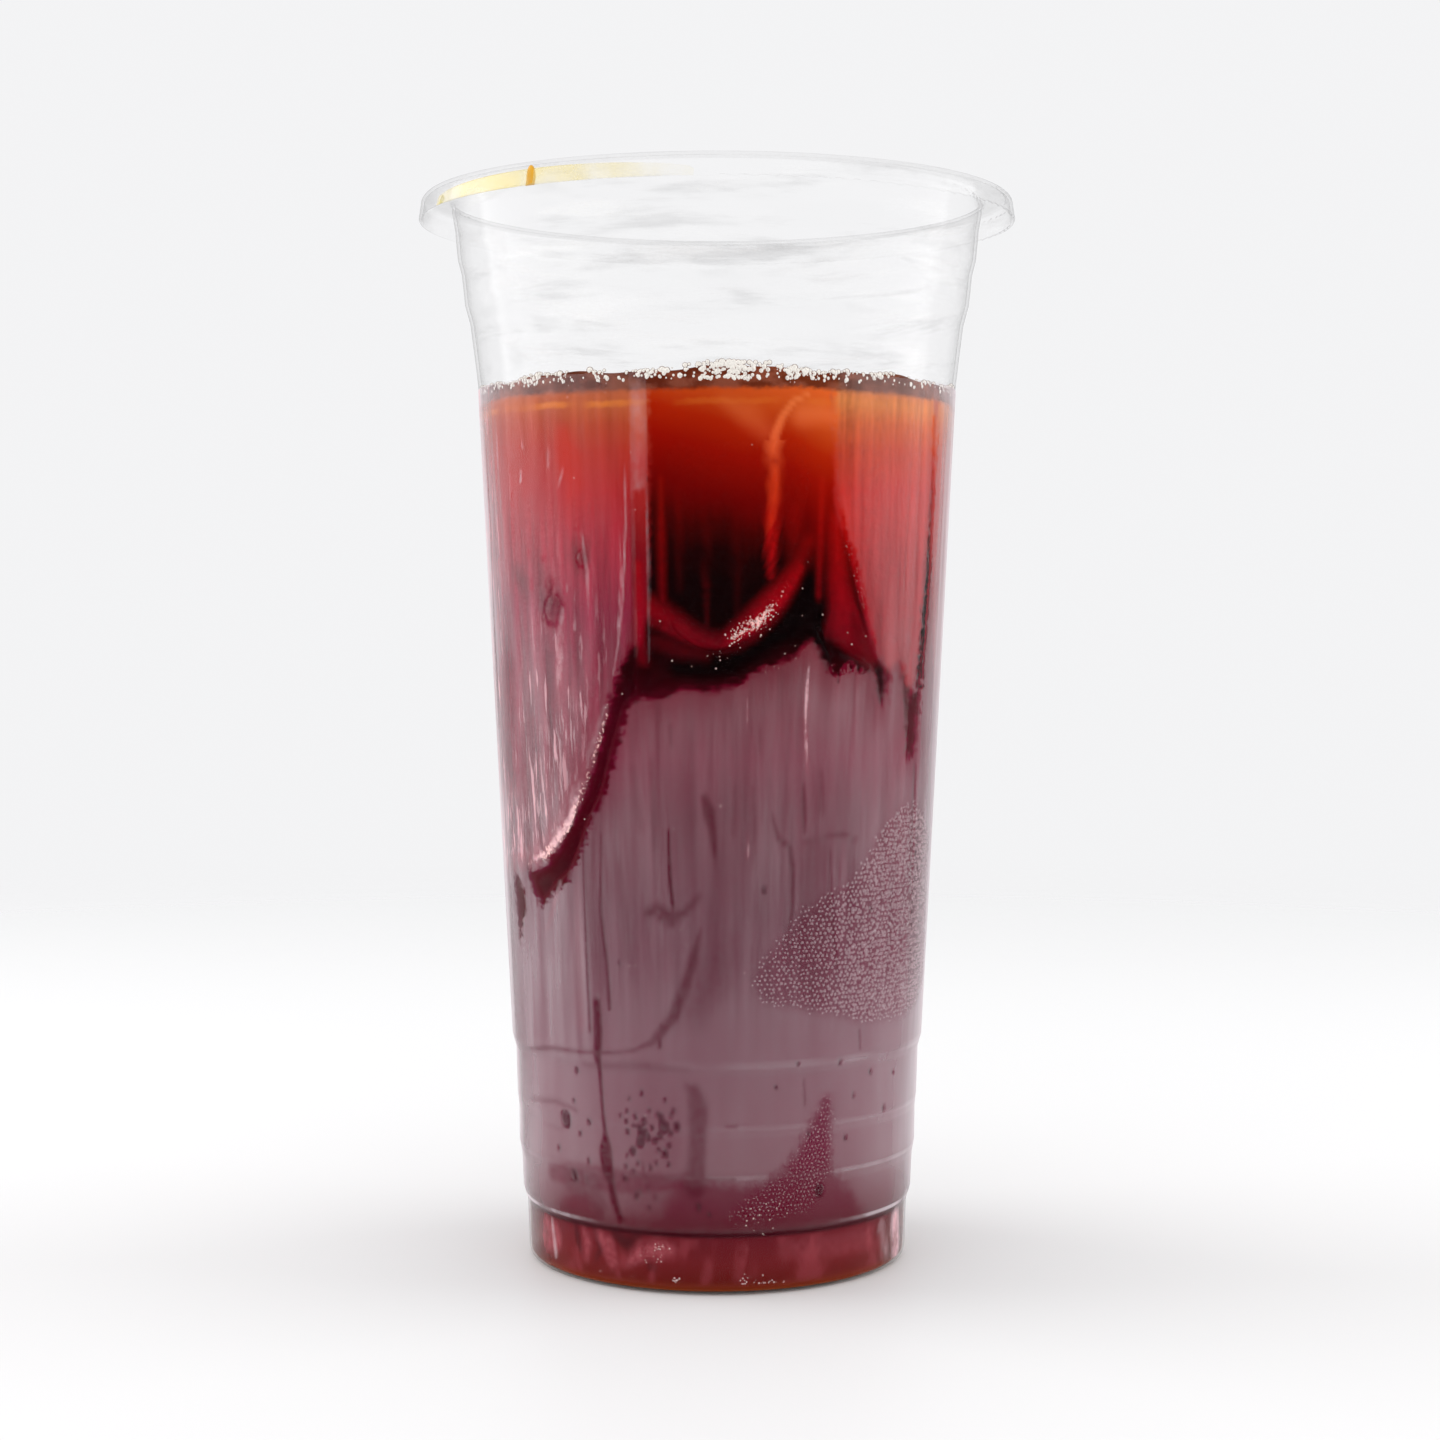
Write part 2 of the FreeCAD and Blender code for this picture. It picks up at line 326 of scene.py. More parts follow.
# Black strokes are mostly painted shade: under the ice rims and in the folds beside them, with dark marks on
# the foot.
BLACK_STROKES = [
    (0.97, 1.2, [(-10, 98.3, 1.6), (-4, 98.3, 2.1), (3, 98.5, 2), (10, 100.9, 1.5), (16, 103.8, 1.8),
        (20, 107, 2.1), (23.2, 111, 1.8)]),
    (0.9, 1.2, [(24.5, 106, 1.8), (26.5, 101.5, 1.2), (28, 98.8, 0.5)]),
    (0.8, 0.8, [(43.5, 98, 0.7), (45, 95.5, 0.5), (44.7, 93.2, 0.3)]),
    (0.55, 0.8, [(-31, 8.8, 0.6), (-27, 7.6, 1.2), (-23, 9, 0.4)]),
    (0.55, 0.6, [(-38, 9, 0.4), (-36, 6, 0.5), (-38, 4.3, 0.3)]),
    (0.45, 0.6, [(-46, 9, 0.4), (-45, 6.5, 0.8), (-43.5, 4.6, 0.4)]),
    (0.5, 0.5, [(-19.5, 4.2, 0.7), (-18.5, 4.1, 0.6)]),
]
# Shine strokes are painted highlights: sparkles on the ice rims, and glints at the level and on the foot.
SHINE_STROKES = [
    (0.6, 1, [(2.5, 102.3, 0.2), (6, 103.6, 0.9), (10, 105.2, 1.2), (13, 107.2, 0.7), (17, 111, 0.1)]),
    (0.7, 0.5, [(-57, 67, 0.2), (-50, 68.5, 0.7), (-45, 70.8, 0.9), (-40, 74.1, 0.8), (-37, 77.8, 0.4)]),
    (0.5, 0.5, [(-38, 76.5, 0.6), (-34.5, 80.2, 0.6), (-30.5, 86, 0.5), (-27.6, 91.5, 0.3)]),
    (0.45, 0.5, [(-66, 66, 0.3), (-57, 66.4, 0.4)]),
    (0.42, 0.4, [(-45, 139.9, 0.2), (-31, 140, 0.3), (-20, 140, 0.2)]),
    (0.42, 0.5, [(28, 139.5, 0.3), (33, 139.2, 0.2)]),
    (0.42, 0.5, [(43, 138.3, 0.3), (48, 138, 0.2)]),
    (0.4, 0.4, [(12, 2, 0.2), (20, 1.8, 0.4), (26, 2.2, 0.2)]),
    (0.38, 0.4, [(-24, 5.6, 0.3), (-16, 7.8, 0.5), (-13, 7, 0.3)]),
    (0.36, 0.4, [(-41, 2.4, 0.2), (-30, 2, 0.3), (-24, 2.4, 0.2)]),
]
PINK_STROKES = [
    (0.6, 0.9, [(-26.5, 4.5, 0.6), (-22, 6.6, 1.5), (-17, 7, 1.6), (-13.5, 7.2, 1)]),
    (0.55, 0.7, [(-36.5, 8.2, 0.8), (-33.5, 6.8, 1.6), (-32, 4.6, 1.2)]),
    (0.45, 0.6, [(-42.5, 8.5, 0.5), (-41, 6.5, 0.9), (-41.5, 4, 0.5)]),
    (0.7, 1.2, [(-62, 6, 3), (-57, 6, 2.2)]),
    (0.25, 1.2, [(20, 7, 1.5), (35, 6.5, 1.8), (50, 6.5, 1.8)]),
]
# These strokes are runs and drops of water that wipe the mist and darken the coffee, and, in the long level
# strokes near 18, 28 and 36 mm, painted shade along the ledges.
WET_AND_SHADE_STROKES = [
    (0.8, 0.4, [(-33, 46, 0.7), (-32.8, 41, 0.85), (-33.3, 37, 0.7), (-33.2, 34.5, 0.35), (-32.6, 29, 0.3),
        (-32, 25, 0.45), (-32, 22.5, 1.3), (-31.5, 19, 1.3), (-30.8, 17, 0.8), (-30, 14.5, 0.7),
        (-28, 11.5, 0.5)]),
    (0.6, 0.3, [(-35.6, 73, 0.2), (-35.8, 55, 0.3), (-35.5, 41, 0.3)]),
    (0.65, 0.3, [(-30, 72, 0.15), (-31, 60, 0.25), (-29.5, 52, 0.3), (-29, 45, 0.35)]),
    (0.85, 0.2, [(-12, 73, 0.2), (-11.8, 66, 0.28), (-11, 61.5, 0.25)]),
    (0.62, 0.4, [(-3, 78.4, 0.5), (-1.9, 76, 1), (-1.1, 73.6, 0.6), (-0.5, 69.5, 0.35)]),
    (0.4, 0.25, [(10.3, 89, 0.15), (10.6, 85, 0.1)]),
    (0.5, 0.25, [(-11.2, 89.5, 0.2), (-11, 86, 0.15)]),
    (0.42, 0.3, [(22, 71.2, 0.2), (29, 71.8, 0.35), (34, 72, 0.3), (37.5, 71.2, 0.2)]),
    (0.24, 2, [(25, 70, 1.8), (25, 56, 3), (27, 48, 2.6)]),
    (0.2, 2.5, [(3, 70, 1), (4, 61, 3), (1, 54, 2)]),
    (0.24, 0.8, [(-33.5, 71, 0.6), (-33.5, 58, 1.2), (-32.5, 48, 0.9)]),
    (0.5, 2, [(-64, 79, 1.5), (-60, 72, 2), (-58, 69, 1)]),
    (0.22, 0.5, [(-16, 84, 0.5), (-15.6, 76, 0.6), (-15.4, 70, 0.3)]),
    (0.22, 0.6, [(-21, 83, 0.5), (-20, 77, 0.7), (-19, 73, 0.4)]),
    (0.24, 0.4, [(4.5, 80, 0.3), (4.2, 73, 0.4)]),
    (0.26, 0.5, [(8.8, 80, 0.3), (9.4, 73, 0.5), (9, 67, 0.2)]),
    (0.26, 0.5, [(26.5, 82, 0.4), (27, 76, 0.5)]),
    (0.22, 0.7, [(-25, 68, 0.4), (-24, 60, 0.8), (-24, 53, 0.4)]),
    (0.52, 0.3, [(13.8, 75.5, 0.2), (15.2, 72, 0.4), (18.3, 70.6, 0.3), (19.4, 67, 0.4), (19.4, 61, 0.3),
        (18, 56, 0.1)]),
    (0.58, 0.3, [(21.7, 80, 0.25), (22.1, 76, 0.4), (22.3, 73, 0.2)]),
    (0.5, 0.3, [(29.5, 70, 0.2), (30.5, 60, 0.3), (33, 51, 0.2)]),
    (0.56, 0.7, [(-17.5, 60.3, 0.7), (-15, 61.2, 0.8), (-12, 59.8, 0.9), (-8.5, 60.3, 0.6), (-4.5, 63, 0.3)]),
    (0.5, 0.5, [(-14.5, 59.5, 0.4), (-11, 58.6, 0.4)]),
    (0.6, 0.7, [(-4.3, 57.5, 0.2), (-6, 53, 0.8), (-8.5, 48, 1), (-11, 44.5, 1), (-14.5, 41.5, 0.6),
        (-18, 39.6, 0.3)]),
    (0.35, 3, [(3, 57, 1.5), (-1, 50, 3), (-6, 45, 2)]),
    (0.75, 0.3, [(-14.5, 43, 0.2), (-15, 39.5, 0.3)]),
    (0.52, 0.9, [(-8, 33.4, 0.3), (-6, 32.4, 1.2), (-5, 30, 1.7), (-5.1, 25, 1.5), (-5.4, 21, 1.6),
        (-6, 17.5, 2)]),
    (0.48, 0.4, [(-76, 35.4, 0.3), (-60, 36.5, 0.4), (-50, 37.5, 0.4), (-40, 37.6, 0.3), (-28, 38.1, 0.25),
        (-22, 38.7, 0.25), (-17.5, 40.2, 0.3), (-15, 42.5, 0.2)]),
    (0.36, 0.5, [(-74, 27.6, 0.3), (-60, 28.3, 0.4), (-50, 28.8, 0.5), (-42, 28.1, 0.3)]),
    (0.22, 0.4, [(-57, 24.6, 0.2), (-48, 24.4, 0.3)]),
    (0.3, 0.8, [(-38, 35.6, 0.3), (-20, 36.4, 0.6), (-8, 36, 0.3)]),
    (0.5, 0.3, [(-25, 18.8, 0.1), (-20.5, 18.5, 0.3), (-8, 18.6, 0.3), (5, 18.7, 0.15)]),
    (0.5, 0.2, [(2.5, 27, 0.2), (5.3, 27, 0.25)]),
    (0.4, 0.25, [(24, 34, 0.2), (24.3, 30, 0.25)]),
    (0.35, 0.25, [(-20.5, 21, 0.2), (-20, 18, 0.25)]),
    (0.4, 0.3, [(41, 41, 0.3), (41.5, 38, 0.25)]),
    (0.35, 1.2, [(-46, 16.5, 2), (-38, 16, 2.4), (-35, 13, 1.5)]),
    (0.4, 0.6, [(-57, 98, 0.6), (-57.5, 120, 0.8), (-56.5, 130, 0.4)]),
    (0.6, 0.4, [(61, 82, 0.4), (62, 70, 0.5), (63, 56, 0.3)]),
    (0.55, 0.3, [(-71, 62, 0.6), (-71.5, 52, 0.4), (-73, 44, 0.3)]),
]
SPECKS = [
    (-46.5, 26.5, 1.3), (-37.5, 26.6, 0.5), (-41.5, 34.5, 0.5), (-44.3, 17.5, 0.9), (-38, 20.4, 0.4),
    (-20.5, 25.8, 0.9), (-21.2, 24.3, 0.8), (-14.3, 27, 0.9), (-15.2, 28.4, 0.5), (-10.8, 27, 0.6),
    (-23.5, 22.8, 0.6), (-14.2, 22.6, 0.6), (-25.6, 20.3, 0.35), (-18.5, 29.3, 0.3), (-16, 28.8, 0.4),
    (-26.3, 18.2, 0.5), (-19.5, 17, 0.3), (-23, 15.6, 0.4), (-13, 24, 0.4), (-16, 23.2, 0.4),
    (-25, 29, 0.3), (-25, 25.7, 0.4), (30, 16.2, 0.9), (53.5, 27.5, 0.5), (35, 36.3, 0.4),
    (-33.3, 115, 1.1), (-43.5, 111.2, 1), (-42.5, 107.3, 2.3), (-45.5, 115.3, 0.5), (-51, 116, 0.4),
    (-55.5, 111.7, 0.5), (-50.3, 111, 0.5), (-34.2, 120, 0.35), (-38.5, 110, 0.4), (-46, 106, 0.5),
    (12, 64, 0.4), (44, 60, 0.3), (-26, 52, 0.3), (58, 33, 0.4), (-27, 28.3, 0.3), (-25.3, 27.4, 0.35),
    (-23.2, 26.8, 0.3), (-22.5, 28.3, 0.4), (-19, 25, 0.5), (-17.8, 26.7, 0.4), (-17, 24.6, 0.5),
    (-15.6, 25.4, 0.55), (-12.6, 26, 0.45), (-11.6, 29.5, 0.35), (-12.4, 28.6, 0.3), (-16.7, 21.2, 0.3),
    (-13.2, 21, 0.35), (-18.4, 20.4, 0.35), (-22, 20.8, 0.3), (-23.4, 19.6, 0.35), (-25.2, 22, 0.3),
    (-20, 27.6, 0.5), (-21.7, 26.8, 0.4), (-24.4, 31, 0.3), (-20.6, 32, 0.35), (-14, 31.2, 0.3),
    (-17.2, 15.6, 0.3), (-21.8, 16.3, 0.35), (-19.2, 13.9, 0.3), (-41, 24.4, 0.4), (-43, 29.6, 0.35),
    (-50, 21.4, 0.4), (-39.6, 17, 0.35), (-5, 14.4, 0.5), (-2, 13.2, 0.35), (26, 25, 0.35), (38, 24, 0.4),
    (40.5, 30.6, 0.35), (47, 34, 0.4), (22, 36.6, 0.3), (16, 33, 0.3),
]


def reach(outline, turn, height):
    """Distance in mm from each place on the wall to the side of an outline: more than zero inside it, by
    counting how often a level ray crosses the sides, and less than zero outside."""
    corners = np.array(outline, float)
    x, y = np.radians(turn) * ROUND_MM, height
    cx, cy = np.radians(corners[:, 0]) * ROUND_MM, corners[:, 1]
    nearest = np.full(np.shape(x), 1e9)
    within = np.zeros(np.shape(x), bool)
    for i in range(len(cx)):
        j = (i + 1) % len(cx)
        dx, dy = cx[j] - cx[i], cy[j] - cy[i]
        along = np.clip(((x - cx[i]) * dx + (y - cy[i]) * dy) / (dx * dx + dy * dy), 0.0, 1.0)
        nearest = np.minimum(nearest, np.hypot(x - cx[i] - along * dx, y - cy[i] - along * dy))
        if dy:
            within ^= ((cy[i] > y) != (cy[j] > y)) & (x < cx[i] + (y - cy[i]) * dx / dy)
    return np.where(within, nearest, -nearest)


def deepest(outlines, turn, height):
    """The largest of the outlines' reaches: more than zero inside any of them."""
    return np.max([reach(outline, turn, height) for outline in outlines], axis=0)


def eased(value, low, high):
    """0 below low and 1 above high, with an eased rise between."""
    share = np.clip((value - low) / (high - low), 0.0, 1.0)
    return share * share * (3.0 - 2.0 * share)


def brushed(strokes, turn, height):
    """How strongly strokes cover each place: a stroke's strength on its line, eased to nothing across its
    half width, which runs evenly from corner to corner. Where strokes cross, the stronger counts."""
    x, y = np.radians(turn) * ROUND_MM, height
    cover = np.zeros(np.shape(x))
    for strength, soft, line in strokes:
        for (turn_a, y_a, half_a), (turn_b, y_b, half_b) in zip(line[:-1], line[1:]):
            x_a, x_b = math.radians(turn_a) * ROUND_MM, math.radians(turn_b) * ROUND_MM
            dx, dy = x_b - x_a, y_b - y_a
            along = np.clip(((x - x_a) * dx + (y - y_a) * dy) / (dx * dx + dy * dy), 0.0, 1.0)
            away = np.hypot(x - x_a - along * dx, y - y_a - along * dy)
            half = half_a + (half_b - half_a) * along
            cover = np.maximum(cover, strength * eased(half - away, -soft, soft))
    return cover


def spots(strength):
    """Short strokes over the single drops."""
    softness = 0.2
    return [
        (strength, softness, [(at, up, size * 1.05), (at + 0.01, up - size * 0.4, size)])
        for at, up, size in SPECKS
    ]


BACK_WARP = 14.0  # degrees by which the marks are stretched sideways behind the cup
BACK_DROP_MM = 6.0  # how much lower they lie there


def drop_mm(beyond, z):
    """How far a mark is let down, at degrees beyond the side and a height: not at all at level and foot."""
    return BACK_DROP_MM * eased(beyond, 0.0, 35.0) * eased(level_mm - z, 0.0, 25.0) * eased(z, 12.0, 40.0)


def folded(x, y, z):
    """Where each place on the wall finds its marks, in degrees and mm. In front that is the place itself.
    Behind, the front's marks are mirrored, warped and let down, so the sides are alike and not the same."""
    turn = np.degrees(np.arctan2(x, -y))
    beyond = np.abs(turn) - 90.0
    mirrored = np.sign(turn) * (90.0 - beyond + BACK_WARP * np.sin(np.radians(2.0 * beyond)))
    return np.where(beyond > 0.0, mirrored, turn), z + drop_mm(beyond, z)


def keep(mesh, name, values):
    """Keeps a value at each vertex, under a name that materials read."""
    mesh.attributes.new(name, "FLOAT", "POINT").data.foreach_set("value", values.astype(np.float32))


def store(mesh, marks):
    """Keeps at each vertex what marks works out from its folded place: a dictionary of arrays."""
    for name, values in marks(*folded(*vertices_mm(mesh))).items():
        keep(mesh, name, values)


def coffee_marks(turn, height):
    """The zones of the coffee's colour, as mm inside an outline, and its strokes, as cover from 0 to 1."""
    on_mist = eased(height, 9.5, 11.0) * eased(100.0 - height, 0.0, 3.0)
    return {
        "turn_deg": turn,
        "mark_mm": height,
        "clear_mm": deepest([FRONT_WINDOW, LEFT_SHADE, RIGHT_STROKE, LEFT_DRIP], turn, height),
        "left_mm": reach(LEFT_ICE, turn, height),
        "right_mm": deepest([RIGHT_ICE, SIDE_ICE], turn, height),
        "red": brushed(RED_STROKES, turn, height),
        "orange": brushed(ORANGE_STROKES, turn, height),
        "black": brushed(BLACK_STROKES + spots(0.5), turn, height),
        "brown": brushed(WET_AND_SHADE_STROKES, turn, height) * on_mist,
        "pink": brushed(PINK_STROKES, turn, height),
        "shine": brushed(SHINE_STROKES, turn, height),
    }


def quad_mesh(name, points, quads):
    """A smooth mesh object from points in mm and quads, its doubles merged and its faces turned outwards."""
    mesh = bpy.data.meshes.new(name)
    mesh.vertices.add(len(points))
    mesh.vertices.foreach_set("co", (points / 1000.0).astype(np.float32).ravel())
    mesh.loops.add(quads.size)
    mesh.loops.foreach_set("vertex_index", quads.astype(np.int32).ravel())
    mesh.polygons.add(len(quads))
    mesh.polygons.foreach_set("loop_start", np.arange(0, quads.size, 4, dtype=np.int32))
    mesh.update(calc_edges=True)
    mesh.validate()
    shape = bmesh.new()
    shape.from_mesh(mesh)
    bmesh.ops.remove_doubles(shape, verts=shape.verts, dist=2e-7)
    bmesh.ops.recalc_face_normals(shape, faces=shape.faces)
    shape.to_mesh(mesh)
    shape.free()
    mesh.shade_smooth()
    piece = bpy.data.objects.new(name, mesh)
    bpy.context.scene.collection.objects.link(piece)
    return piece


def grid_mesh(name, points, capped=False):
    """A mesh from rows of points in mm, rows by columns by 3, whose last column joins its first. Capped
    joins the last row to the first as well, and leaves the columns open."""
    rows, columns = points.shape[:2]
    index = np.arange(rows * columns).reshape(rows, columns)
    if capped:
        here, down = index, np.roll(index, -1, 0)
        quads = np.stack([here[:, :-1], here[:, 1:], down[:, 1:], down[:, :-1]], -1)
    else:
        here, down = index[:-1], index[1:]
        quads = np.stack([here, np.roll(here, -1, 1), np.roll(down, -1, 1), down], -1)
    return quad_mesh(name, points.reshape(-1, 3), quads.reshape(-1, 4))


def turned(radius, turn, height):
    """Points at a radius, a turn in degrees and a height, as rows of x, y and z."""
    angle = np.radians(turn)
    return np.stack(np.broadcast_arrays(radius * np.sin(angle), -radius * np.cos(angle), height), -1)


def round_turns(front, back):
    """Turns once round the cup: front of them across its near 140 degrees and back of them round the rest."""
    near = np.linspace(-70.0, 70.0, front, endpoint=False)
    far = np.linspace(70.0, 290.0, back, endpoint=False)
    return np.concatenate([near, far])


def creep_mm(turn):
    """How far the coffee climbs the wall above its level: in two waves round the cup, and further at the
    front, where froth crowds."""
    waves = np.sin(np.radians(turn) * 9.0 + 1.1) + 0.7 * np.sin(np.radians(turn) * 23.0 + 2.0)
    crowd = np.exp(-(((turn - 6.0) / 14.0) ** 2))
    return 0.75 + 0.22 * waves + 0.5 * crowd - 0.3 * eased(np.abs(turn), 45, 60)


CREEP_MM = 0.8  # climb that the half section has before it is scaled round the cup
TOP_RINGS, SIDE_RINGS = 25, 200


def drink_profile():
    """Radius and height down half a section: from the middle of the top out to the wall, where it creeps up
    by a curve of the fortieth power, down the wall, round the foot and under."""
    rim = wall_in(level_mm) + SKIN_MM
    share = np.linspace(0.0, 1.0, TOP_RINGS + 1)[:-1] ** 0.6
    top = np.stack([share * rim, level_mm + CREEP_MM * share**40.0], 1)
    heights = np.linspace(level_mm + CREEP_MM, 1.7, SIDE_RINGS)
    side = np.stack([wall_in(heights) + SKIN_MM, heights], 1)
    foot = [(31.0, 1.2), (30.6, 0.7), (29.9, 0.4), (28.05, 0.4)]
    under = [(26.0, 1.8), (23.4, 3.35), (12.0, 3.4), (0.0, 3.4)]
    return np.concatenate([top, side, np.array(foot + under)])


def drink_mesh():
    """The half section turned round the axis, with its wall pressed in where the ice throws a shade."""
    profile = drink_profile()
    turn = round_turns(240, 180)
    around, radius = np.meshgrid(turn, profile[:, 0])
    height = np.repeat(profile[:, 1:], len(turn), 1)
    climb = creep_mm((around + 180.0) % 360.0 - 180.0) / CREEP_MM
    height = np.where(height > level_mm, level_mm + (height - level_mm) * climb, height)
    marked, up = folded(*np.moveaxis(turned(radius + 1.0, around, height), -1, 0))
    shade = deepest([LEFT_SHADE, FRONT_WINDOW], marked, up)
    below = eased(shade, 0.6, 3.0) * eased(108.0 - up, 0.0, 6.0) * (height > 20.0) * (radius > 30.0)
    return grid_mesh("drink", turned(radius - HOLLOW_MM * below, around, height))


def window_edge(spot, turn, up, fine):
    """How far the edges of windows in the mist stray, in mm: fringed low down, and rougher at the right."""
    fringe = (spot.speckle(380.0, 3.0, 0.6, (1.0, 1.0, 3.0)) - 0.5) * up.ease(106.0, 100.0)
    fringe = fringe * (3.2 - turn.ease(26.0, 32.0) * 1.4)
    return fine * (turn.ease(25.0, 31.0) * 1.6 + 1.0) + fringe


def coffee_paint(wire, spot, height):
    """The colour of coffee behind the wall: dark and clear in the windows, red where light comes through the
    ice, crimson below, and brown and orange just under the surface. The red and orange light, the sparkles
    and the gleam under the level are painted light, and the black under the ice rims is painted shade."""
    turn, up, clear, left, right = (
        wire.attribute(name) for name in ("turn_deg", "mark_mm", "clear_mm", "left_mm", "right_mm")
    )
    broad = spot.speckle(34.0, 2.0, 0.5, (1.0, 1.0, 0.5)) - 0.5
    lines = spot.speckle(520.0, 3.0, 0.6, (1.0, 1.0, 0.045)) - 0.5
    ragged = spot.speckle(1000.0, 3.0, 0.6) - 0.5
    wavy = up + broad * 9.0 + lines * 5.0 * up.ease(128.0, 120.0)
    # Painted light: deep coffee turns red and orange towards the top, where light from above is painted in,
    # and lighter towards the right.
    deep = (wavy + turn.at_most(26.0).at_least(-16.0) * 0.2 * up.ease(98.0, 112.0)).ramp(
        (60.0, (0.07, 0.0015, 0.006)), (90.0, (0.06, 0.001, 0.006)), (98.0, (0.022, 0.0006, 0.0016)),
        (103.0, (0.004, 0.0004, 0.0005)), (112.0, (0.004, 0.0004, 0.0005)),
        (117.0, (0.011, 0.0005, 0.0006)), (121.0, (0.045, 0.0006, 0.0005)), (126.0, (0.14, 0.0006, 0.0004)),
        (132.0, (0.275, 0.0035, 0.0006)), (136.0, (0.38, 0.014, 0.0012)), (140.0, (0.52, 0.06, 0.008)),
        (145.0, (0.68, 0.11, 0.02)),
    )
    # Painted light: left_red and right_red are the red of light coming through the ice, orange near the top.
    left_red = (up + broad * 8.0).ramp(
        (60.0, (0.15, 0.008, 0.026)), (90.0, (0.165, 0.007, 0.026)), (102.0, (0.175, 0.007, 0.028)),
        (108.0, (0.19, 0.008, 0.03)), (114.0, (0.24, 0.008, 0.026)), (120.0, (0.29, 0.008, 0.02)),
        (126.0, (0.36, 0.01, 0.012)), (132.0, (0.38, 0.022, 0.011)), (136.0, (0.39, 0.045, 0.014)),
        (139.0, (0.44, 0.09, 0.026)), (143.0, (0.4, 0.095, 0.04)),
    )
    right_red = (up + broad * 6.0).ramp(
        (82.0, (0.15, 0.008, 0.02)), (95.0, (0.23, 0.01, 0.018)), (102.0, (0.27, 0.011, 0.017)),
        (108.0, (0.3, 0.012, 0.016)), (114.0, (0.33, 0.012, 0.014)), (120.0, (0.4, 0.013, 0.01)),
        (126.0, (0.45, 0.017, 0.01)), (132.0, (0.46, 0.042, 0.012)), (136.0, (0.52, 0.095, 0.024)),
        (139.0, (0.6, 0.18, 0.048)), (143.0, (0.52, 0.14, 0.055)),
    )
    # Painted light and shade: an orange line of light along the very foot, a painted shadow under the foot's
    # ledge at about 9.5 mm, and painted red and orange light near the top.
    low = height.ramp(
        (0.0, (0.35, 0.11, 0.03)), (1.0, (0.2, 0.028, 0.01)), (2.2, (0.12, 0.006, 0.004)),
        (5.0, (0.15, 0.009, 0.012)), (9.2, (0.12, 0.006, 0.012)), (9.5, (0.035, 0.002, 0.005)),
        (9.9, (0.035, 0.002, 0.005)), (10.2, (0.095, 0.004, 0.012)), (14.0, (0.11, 0.004, 0.018)),
        (24.0, (0.125, 0.004, 0.026)), (36.0, (0.12, 0.004, 0.028)), (60.0, (0.098, 0.0035, 0.022)),
        (76.0, (0.112, 0.003, 0.02)), (84.0, (0.145, 0.003, 0.024)), (97.0, (0.13, 0.003, 0.015)),
        (115.0, (0.19, 0.003, 0.008)), (130.0, (0.42, 0.025, 0.02)), (137.0, (0.48, 0.09, 0.04)),
        (143.0, (0.42, 0.1, 0.05)),
    )
    fine = ragged * 1.6 + lines * 1.6
    low = low.scaled(lines * 0.7 * up.ease(36.0, 58.0) + 1.0)
    left_red = left_red.scaled(lines * (2.0 - up.ease(112.0, 128.0) * 1.3) + broad * 0.7 + 1.0)
    paint = (left + fine * 0.5).ease(-0.9, 0.9).mixed(low, left_red)
    right_red = right_red.scaled(lines * 1.2 + ragged * 0.5 + 1.0)
    paint = (right + fine * 1.5).ease(-1.2, 1.2).mixed(paint, right_red)
    paint = (clear + window_edge(spot, turn, up, fine)).ease(-0.7, 0.7).mixed(paint, deep)
    # Painted light: ember is the red of the lit ice rims and of light through thin coffee, and glow is the
    # orange of light from above.
    ember = up.ramp(
        (94.0, (0.1, 0.001, 0.004)), (103.0, (0.33, 0.003, 0.012)), (112.0, (0.36, 0.002, 0.005)),
        (120.0, (0.45, 0.004, 0.003)), (135.0, (0.5, 0.02, 0.005)),
    )
    glow = up.ramp((112.0, (0.45, 0.006, 0.003)), (127.0, (0.68, 0.045, 0.01)), (134.0, (0.74, 0.12, 0.035)),
                   (139.0, (0.74, 0.17, 0.045)))
    # Painted shade: black strokes under the ice rims, and the dark of single drops.
    paint = wire.attribute("black").mixed(paint, (0.002, 0.0004, 0.0005))
    # Darker where water runs, and painted shade along the ledges.
    paint = (wire.attribute("brown") * 0.75).mixed(paint, (0.055, 0.006, 0.011))
    paint = (wire.attribute("red") * (ragged * 0.9 + 1.0)).mixed(paint, ember)
    paint = wire.attribute("orange").mixed(paint, glow)
    foot = height.ease(9.4, 8.4) * height.ease(1.2, 2.4)
    ripples = spot.speckle(230.0, 3.0, 0.6, (1.0, 1.0, 0.45)).ease(0.5, 0.66) * foot
    paint = (ripples * 0.4).mixed(paint, (0.33, 0.05, 0.065))
    paint = (wire.attribute("pink") * (ragged * 2.4 + 0.9)).mixed(paint, (0.38, 0.075, 0.095))
    # Painted highlight: pale sparkles, broken by noise, along the shine strokes.
    shine = wire.attribute("shine")
    sparkle = (shine + (spot.speckle(1500.0, 2.0, 0.6) - 0.5) * 1.7).ease(0.42, 0.78) * shine.ease(0.02, 0.3)
    paint = sparkle.mixed(paint, (0.88, 0.52, 0.49))
    line = height + broad * 2.6 + ragged * 1.0
    # Painted highlight: an orange gleam along a broken line just under the level.
    gleam = spot.speckle(90.0, 2.0, 0.6).ease(0.4, 0.6) * (turn.ease(-14.0, -22.0) * 0.4 + 0.22)
    bright = line.ease(137.8, 138.5) * line.ease(139.3, 138.8) * gleam * turn.ease(34.0, 20.0)
    paint = bright.mixed(paint, (0.7, 0.19, 0.025))
    blotch = spot.speckle(210.0, 3.0, 0.6, (1.0, 1.0, 2.0)).ease(0.38, 0.62)
    rim_band = blotch.mixed((0.045, 0.012, 0.008), (0.17, 0.056, 0.036))
    return (line.ease(140.0, 141.0) * 0.85).mixed(paint, rim_band)


